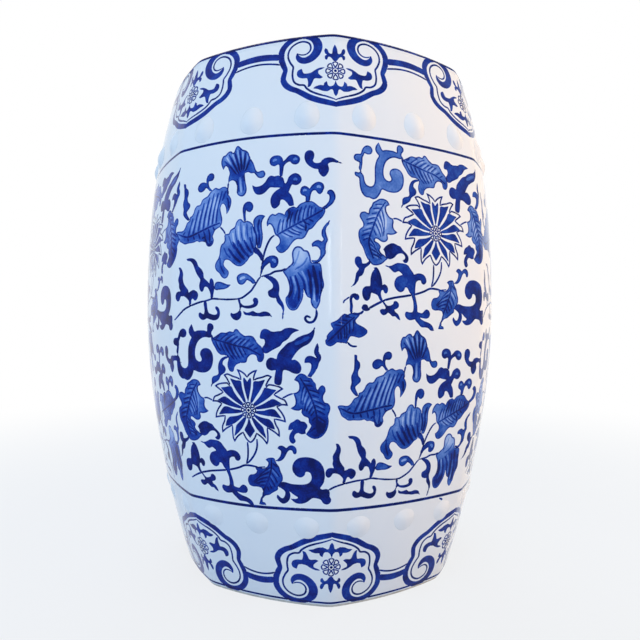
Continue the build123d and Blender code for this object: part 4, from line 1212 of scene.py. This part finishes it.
# Each panel's bake map has the skin on the left, the lining beside it and the cut edges on the right.
sheet_rows = 113
lining_rows = np.linspace(20, 436, 22)
lining_columns = (-45, -22, 0, 22, 45)
panel_span = wall_top - wall_bottom
map_margin = 0.01
map_height = 0.98
map_foot = map_margin - map_height * wall_bottom / panel_span
skin_map_width = 0.7
skin_map_middle = 0.36
lining_map_width = 0.2
lining_map_middle = 0.84
edge_map_left = 0.965
edge_map_right = 0.985
cut_sheets = []
for index in range(panel_count):
    if index < len(paintings):
        before = shifted(paintings[index - 1], -2 * panel_edge)
        after = shifted(paintings[(index + 1) % len(paintings)], 2 * panel_edge)
        lines = rising_lines if index % 2 else falling_lines
        layers = before + after + paintings[index] + borders + lines
        cut_sheets.append(painted_sheet(wall_bottom, wall_top, sheet_rows, layers))
    sheet, triangles, tones = cut_sheets[index % len(paintings)]
    skin, facing = on_skin(sheet)
    edge = rim_of(sheet)
    lining_sheet = list(sheet[edge])
    lining_grid = [(across, up) for up in lining_rows for across in lining_columns]
    rounds = [(place, (place + 1) % len(edge)) for place in range(len(edge))]
    lining_spots = [Vector(spot) for spot in lining_sheet + lining_grid]
    inside = delaunay_2d_cdt(lining_spots, rounds, [], 0, same_point)
    lining_flat = np.array([tuple(spot) for spot in inside[0]])
    lining = on_lining(lining_flat, wall_thickness)
    edge_place = {source: place for place, sources in enumerate(inside[3]) for source in sources}
    places = np.concatenate([round_stool(skin, index), round_stool(lining, index)])
    facing = round_stool(facing, index)
    faces = [tuple(triangle) for triangle in triangles]
    corner_normals = list(facing[triangles].reshape(-1, 3))
    corner_tones = list(tones)
    panel_size = (2 * panel_edge, panel_span)
    flat = sheet / panel_size * (skin_map_width, map_height) + (skin_map_middle, map_foot)
    corner_map = list(flat[triangles].reshape(-1, 2))
    back = lining_flat / panel_size * (lining_map_width, map_height) + (lining_map_middle, map_foot)
    for face in inside[2]:
        face = tuple(len(sheet) + corner for corner in reversed(face))
        faces.append(face)
        corner_normals += [flat_normal(places, face)] * 3
        corner_tones += [0.0] * 3
        corner_map += [back[corner - len(sheet)] for corner in face]
    for place, after in rounds:
        face = (edge[after], edge[place], len(sheet) + edge_place[place], len(sheet) + edge_place[after])
        faces.append(face)
        corner_normals += [flat_normal(places, face)] * 4
        corner_tones += [0.0] * 4
        low, high = np.array([place, place + 1]) / len(edge) * map_height + map_margin
        corner_map += [(edge_map_left, high), (edge_map_left, low)]
        corner_map += [(edge_map_right, low), (edge_map_right, high)]
    panel = glazed_piece(
        f"painted_panel_{index + 1}", places, faces, corner_normals, corner_tones, corner_map, glaze
    )
    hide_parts(f"wall_panel_{index + 1}")

# Bosses: low round studs of clay in two rows, sprigged onto the wall on the rim side of the upper line and
# the foot side of the lower one, under the same glaze, which softens their edges.
# Each row has its height, how far a boss rises, and how far it reaches above and below its middle.
boss_rows = {
    "upper_boss_row": (387.0, 3.3, 13.5, 9.8),
    "lower_boss_row": (72.0, 1.6, 8.3, 10.5),
}
boss_half_width = 10.0
boss_spacing = 2 / 3 * panel_edge
boss_fullness = 1.3
edge_sink = 0.05
root_depth = 1.5
boss_rings = 12
boss_spokes = 40
for node, (height, boss_rise, boss_above, boss_below) in boss_rows.items():
    rings = np.linspace(0.0, 1.0, boss_rings + 1)[1:]
    turns = np.arange(boss_spokes) * 2 * math.pi / boss_spokes
    girth = float(half_girth(np.array([height]))[0])
    row_places, row_faces = [], []
    for index in range(panel_count):
        for middle in (-boss_spacing, 0.0, boss_spacing):
            spots = [(middle, height)]
            rises = [boss_rise]
            for ring in rings:
                for turn in turns:
                    across = boss_half_width * ring * math.cos(turn) * panel_edge / girth
                    up = ring * math.sin(turn) * (boss_above if turn < math.pi else boss_below)
                    spots.append((middle + across, height + up))
                    rises.append(boss_rise * (1 - ring**2) ** boss_fullness - edge_sink)
            skin, facing = on_skin(np.array(spots))
            dome = skin + facing * np.array(rises)[:, None]
            root = skin[-boss_spokes:] - facing[-boss_spokes:] * root_depth
            start = len(row_places)
            row_places += list(round_stool(np.concatenate([dome, root]), index))
            for spoke in range(boss_spokes):
                after = (spoke + 1) % boss_spokes
                row_faces.append((start, start + 1 + spoke, start + 1 + after))
                for ring in range(boss_rings):
                    near = start + 1 + ring * boss_spokes
                    far = near + boss_spokes
                    row_faces.append((near + spoke, far + spoke, far + after, near + after))
            foot = start + 1 + boss_rings * boss_spokes
            row_faces.append(tuple(foot + spoke for spoke in reversed(range(boss_spokes))))
    row_mesh = bpy.data.meshes.new(node)
    row_mesh.from_pydata(np.array(row_places) * millimetre, [], row_faces, shade_flat=False)
    row_mesh.materials.append(glaze)
    row = bpy.data.objects.new(f"glazed_{node}", row_mesh)
    bpy.context.scene.collection.objects.link(row)
    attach(row, "root")
    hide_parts(node)

# Seat slab: the flat top, a slab of clay with a rounded edge and a plug that drops inside the wall, luted on
# and glazed with the rest. The tops of the cloud heads and the rim line run on round its edge.
seat_edge_radius = 3.0
seat_plug_depth = 6.0
luting_clearance = 0.3
seat_thickness = stool_height - wall_top
edge_bend = stool_height - seat_edge_radius
edge_rows = 8
edge_sheet, edge_triangles, edge_tones = painted_sheet(wall_top, stool_height, edge_rows, borders)
edge_skin, edge_facing = on_skin(edge_sheet)
over = np.clip((edge_sheet[:, 1] - edge_bend) / seat_edge_radius, 0.0, 1.0)
lie = np.sqrt(1 - over**2)
plan = edge_facing * (1.0, 1.0, 0.0)
plan /= np.linalg.norm(plan, axis=1)[:, None]
edge_skin = edge_skin - plan * (seat_edge_radius * (1 - lie))[:, None]
edge_facing = plan * lie[:, None] + np.array([0.0, 0.0, 1.0]) * over[:, None]
low_rim = np.flatnonzero(edge_sheet[:, 1] < wall_top + 1e-3)
low_rim = low_rim[np.argsort(edge_sheet[low_rim, 0])][:-1]
top_rim = np.flatnonzero(edge_sheet[:, 1] > stool_height - 1e-3)
top_rim = top_rim[np.argsort(edge_sheet[top_rim, 0])][:-1]
strip_map_size = (0.96, 0.018)
strip_map_step = 0.025
seat_places, seat_faces, seat_normals, seat_tones, seat_map = [], [], [], [], []
low_loop, top_loop, plug_loop = [], [], []
for index in range(panel_count):
    start = len(seat_places)
    turned = round_stool(edge_skin, index)
    looks = round_stool(edge_facing, index)
    seat_places += list(turned)
    seat_faces += [tuple(start + triangle) for triangle in edge_triangles]
    seat_normals += list(looks[edge_triangles].reshape(-1, 3))
    seat_tones += list(edge_tones)
    strip = (edge_sheet - (0.0, wall_top)) / (2 * panel_edge, seat_thickness) * strip_map_size
    strip += (0.5, map_margin + strip_map_step * index)
    seat_map += list(strip[edge_triangles].reshape(-1, 2))
    low_loop += list(start + low_rim)
    top_loop += list(start + top_rim)
    plug_loop += list(round_stool(on_lining(edge_sheet[low_rim], wall_thickness + luting_clearance), index))

# The medallion on the seat has a line inside the rim, eight small cloud heads, two rings and the lotus.
top_outline = np.array([seat_places[place] for place in top_loop])[:, :2]
medallion = []
for inset, tone_here in ((0.9, 0.97), (0.888, 0.0)):
    medallion.append((tone_here, top_outline * inset, "line"))
head_scale = 0.56
head_reach = 127.0
flower_scale = 2.2
for index in range(panel_count):
    turn = 2 * half_turn * index
    for tone_here, line, kind in cloud_head:
        away = (line[:, 1] - stool_height) * head_scale + head_reach
        across = line[:, 0] * head_scale
        spun_x = away * math.sin(turn) + across * math.cos(turn)
        spun_y = across * math.sin(turn) - away * math.cos(turn)
        medallion.append((tone_here, np.stack([spun_x, spun_y], axis=1), kind))
circle = [(math.cos(turn), math.sin(turn)) for turn in np.arange(24) * math.pi / 12]
for radius, tone_here in ((84.0, 0.97), (82.4, 0.0), (80.0, 0.9), (79.2, 0.0)):
    medallion.append((tone_here, drawn([(radius * x, radius * y) for x, y in circle], True), "line"))
for tone_here, line, kind in lotus_flower():
    medallion.append((tone_here, (line - (flower_middle, flower_height)) * flower_scale, kind))
count = len(top_loop)
grid_steps = np.arange(-120, 121, 24)
grid_reach = 125
top_grid = [(x, y) for x in grid_steps for y in grid_steps if math.hypot(x, y) < grid_reach]
loop_edges = [(place, (place + 1) % count) for place in range(count)]
top_sheet, top_triangles, top_tones = cut_along(list(top_outline) + top_grid, loop_edges, medallion)
start = len(seat_places)
seat_places += [(x, y, stool_height) for x, y in top_sheet]
seat_faces += [tuple(start + triangle) for triangle in top_triangles]
seat_normals += [(0.0, 0.0, 1.0)] * (3 * len(top_triangles))
seat_tones += list(top_tones)
seat_map_span = 340.0
flat_top = top_sheet / seat_map_span * 0.76 + (0.39, 0.61)
seat_map += list(flat_top[top_triangles].reshape(-1, 2))
plug_start = len(seat_places)
seat_places += list(plug_loop)
plug_foot = len(seat_places)
seat_places += [place - np.array([0.0, 0.0, seat_plug_depth]) for place in plug_loop]
ring_faces = []
for place in range(len(low_loop)):
    after = (place + 1) % len(low_loop)
    ring_faces.append((low_loop[after], low_loop[place], plug_start + place, plug_start + after))
    ring_faces.append((plug_start + after, plug_start + place, plug_foot + place, plug_foot + after))
ring_faces.append(tuple(plug_foot + place for place in reversed(range(len(low_loop)))))
seat_places = np.array([tuple(place) for place in seat_places])
for face in ring_faces:
    normal = flat_normal(seat_places, face)
    if len(face) > 4:
        normal = np.array([0.0, 0.0, -1.0])
    seat_faces.append(face)
    seat_normals += [normal] * len(face)
    seat_tones += [0.0] * len(face)
    under = seat_places[list(face)][:, :2] / seat_map_span * 0.18 + (0.89, 0.61)
    seat_map += list(under)
seat = glazed_piece("painted_seat_slab", seat_places, seat_faces, seat_normals, seat_tones, seat_map, glaze)
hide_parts("seat_slab")

# Studio: a plain pale floor that fades to white, with warm soft lamps on the right, cool ones on the left
# and behind, and two narrow strips that show in the glaze. The camera is where the photograph was taken from.
floor_mesh = bpy.data.meshes.new("studio_floor")
floor_mesh.from_pydata([(-6, -6, 0), (6, -6, 0), (6, 6, 0), (-6, 6, 0)], [], [(0, 1, 2, 3)])
floor = bpy.data.objects.new("studio_floor", floor_mesh)
bpy.context.scene.collection.objects.link(floor)
paper, paper_tree, paper_shader = new_finish("pale_paper")
paper_shader.inputs["Roughness"].default_value = 0.9
paper_tree.links.new(
    add_ramp(paper_tree, add_noise(paper_tree, 3.0, 2.0), [
        (0.3, (0.32, 0.43, 0.57)), (0.7, (0.34, 0.45, 0.59)),
    ]),
    paper_shader.inputs["Base Color"],
)
glow = paper_tree.nodes.new("ShaderNodeEmission")
glow.inputs["Color"].default_value = (1.0, 1.0, 1.0, 1.0)


def seen_rays(tree):
    """1 for the rays that show the background, 0 for those that carry its light."""
    ray = tree.nodes.new("ShaderNodeLightPath")
    shown = add_sum(tree, "MAXIMUM", ray.outputs["Is Camera Ray"], ray.outputs["Is Glossy Ray"])
    return add_sum(tree, "MAXIMUM", shown, ray.outputs["Is Transmission Ray"])


floor_place = paper_tree.nodes.new("ShaderNodeTexCoord")
distance = paper_tree.nodes.new("ShaderNodeVectorMath")
distance.operation = "LENGTH"
paper_tree.links.new(floor_place.outputs["Object"], distance.inputs[0])
fade = paper_tree.nodes.new("ShaderNodeMapRange")
fade.interpolation_type = "SMOOTHSTEP"
fade.inputs["From Min"].default_value = 0.3
fade.inputs["From Max"].default_value = 1.2
fade.inputs["To Min"].default_value = 0.8
fade.inputs["To Max"].default_value = 1.0
paper_tree.links.new(distance.outputs["Value"], fade.inputs["Value"])
share = add_sum(paper_tree, "MULTIPLY", seen_rays(paper_tree), fade.outputs["Result"])
blend = paper_tree.nodes.new("ShaderNodeMixShader")
paper_tree.links.new(share, blend.inputs["Fac"])
paper_tree.links.new(paper_shader.outputs["BSDF"], blend.inputs[1])
paper_tree.links.new(glow.outputs["Emission"], blend.inputs[2])
paper_tree.links.new(blend.outputs["Shader"], paper_tree.nodes["Material Output"].inputs["Surface"])
floor_mesh.materials.append(paper)

world = bpy.data.worlds.new("studio_air")
world.use_nodes = True
bpy.context.scene.world = world
air = world.node_tree
sky = air.nodes["Background"]
sky.inputs["Color"].default_value = (0.7, 0.84, 1.0, 1.0)
sky.inputs["Strength"].default_value = 0.5
backdrop = air.nodes.new("ShaderNodeBackground")
backdrop.inputs["Color"].default_value = (1.0, 1.0, 1.0, 1.0)
backdrop.inputs["Strength"].default_value = 1.0
air_mix = air.nodes.new("ShaderNodeMixShader")
air.links.new(seen_rays(air), air_mix.inputs["Fac"])
air.links.new(sky.outputs["Background"], air_mix.inputs[1])
air.links.new(backdrop.outputs["Background"], air_mix.inputs[2])
air.links.new(air_mix.outputs["Shader"], air.nodes["World Output"].inputs["Surface"])


def soft_lamp(name, place, target, width, height, watts, colour, shines):
    """Rectangular soft box turned towards a point; one that shines is seen in the glaze."""
    lamp = bpy.data.lights.new(name, "AREA")
    lamp.shape = "RECTANGLE"
    lamp.size = width
    lamp.size_y = height
    lamp.energy = watts
    lamp.color = colour
    stand = bpy.data.objects.new(name, lamp)
    stand.location = place
    stand.visible_glossy = shines
    stand.rotation_euler = (Vector(target) - Vector(place)).to_track_quat("-Z", "Y").to_euler()
    bpy.context.scene.collection.objects.link(stand)


stool_middle = (0.0, 0.0, 0.25)
soft_lamp("window_right", (1.65, -0.6, 1.3), stool_middle, 2.4, 2.0, 15.5, (1.0, 0.66, 0.34), False)
soft_lamp("card_right", (0.78, -0.3, 0.45), stool_middle, 0.8, 0.5, 3.6, (1.0, 0.6, 0.28), False)
soft_lamp("window_left", (-1.28, -1.28, 0.9), stool_middle, 1.5, 1.7, 14.8, (0.75, 0.89, 1.0), False)
soft_lamp("strip_right", (0.55, -1.6, 0.42), stool_middle, 0.045, 0.62, 2.2, (1.0, 1.0, 1.0), True)
soft_lamp("strip_left", (-0.42, -1.75, 0.45), stool_middle, 0.036, 0.55, 1.4, (1.0, 1.0, 1.0), True)
soft_lamp("skylight", (0.0, 0.5, 1.9), stool_middle, 1.6, 1.6, 6.0, (1.0, 0.95, 0.86), True)
soft_lamp("window_back", (-0.3, 1.7, 1.9), stool_middle, 2.0, 1.6, 24.0, (0.92, 0.96, 1.0), False)

lens = bpy.data.cameras.new("photo_camera")
lens.sensor_width = 36.0
lens.lens = 28.06
lens.clip_start = 0.01
camera = bpy.data.objects.new("photo_camera", lens)
camera.location = (-0.0367, -0.5471, 0.2276)
heading, pitch, roll = 0.0669, 0.0138, 0.0036
look = Vector((math.sin(heading) * math.cos(pitch), math.cos(heading) * math.cos(pitch), math.sin(pitch)))
aim = look.to_track_quat("-Z", "Y").to_matrix().to_4x4()
camera.rotation_euler = (aim @ aim.Rotation(roll, 4, "Z")).to_euler()
bpy.context.scene.collection.objects.link(camera)
bpy.context.scene.camera = camera
bpy.context.scene.view_settings.view_transform = "Standard"
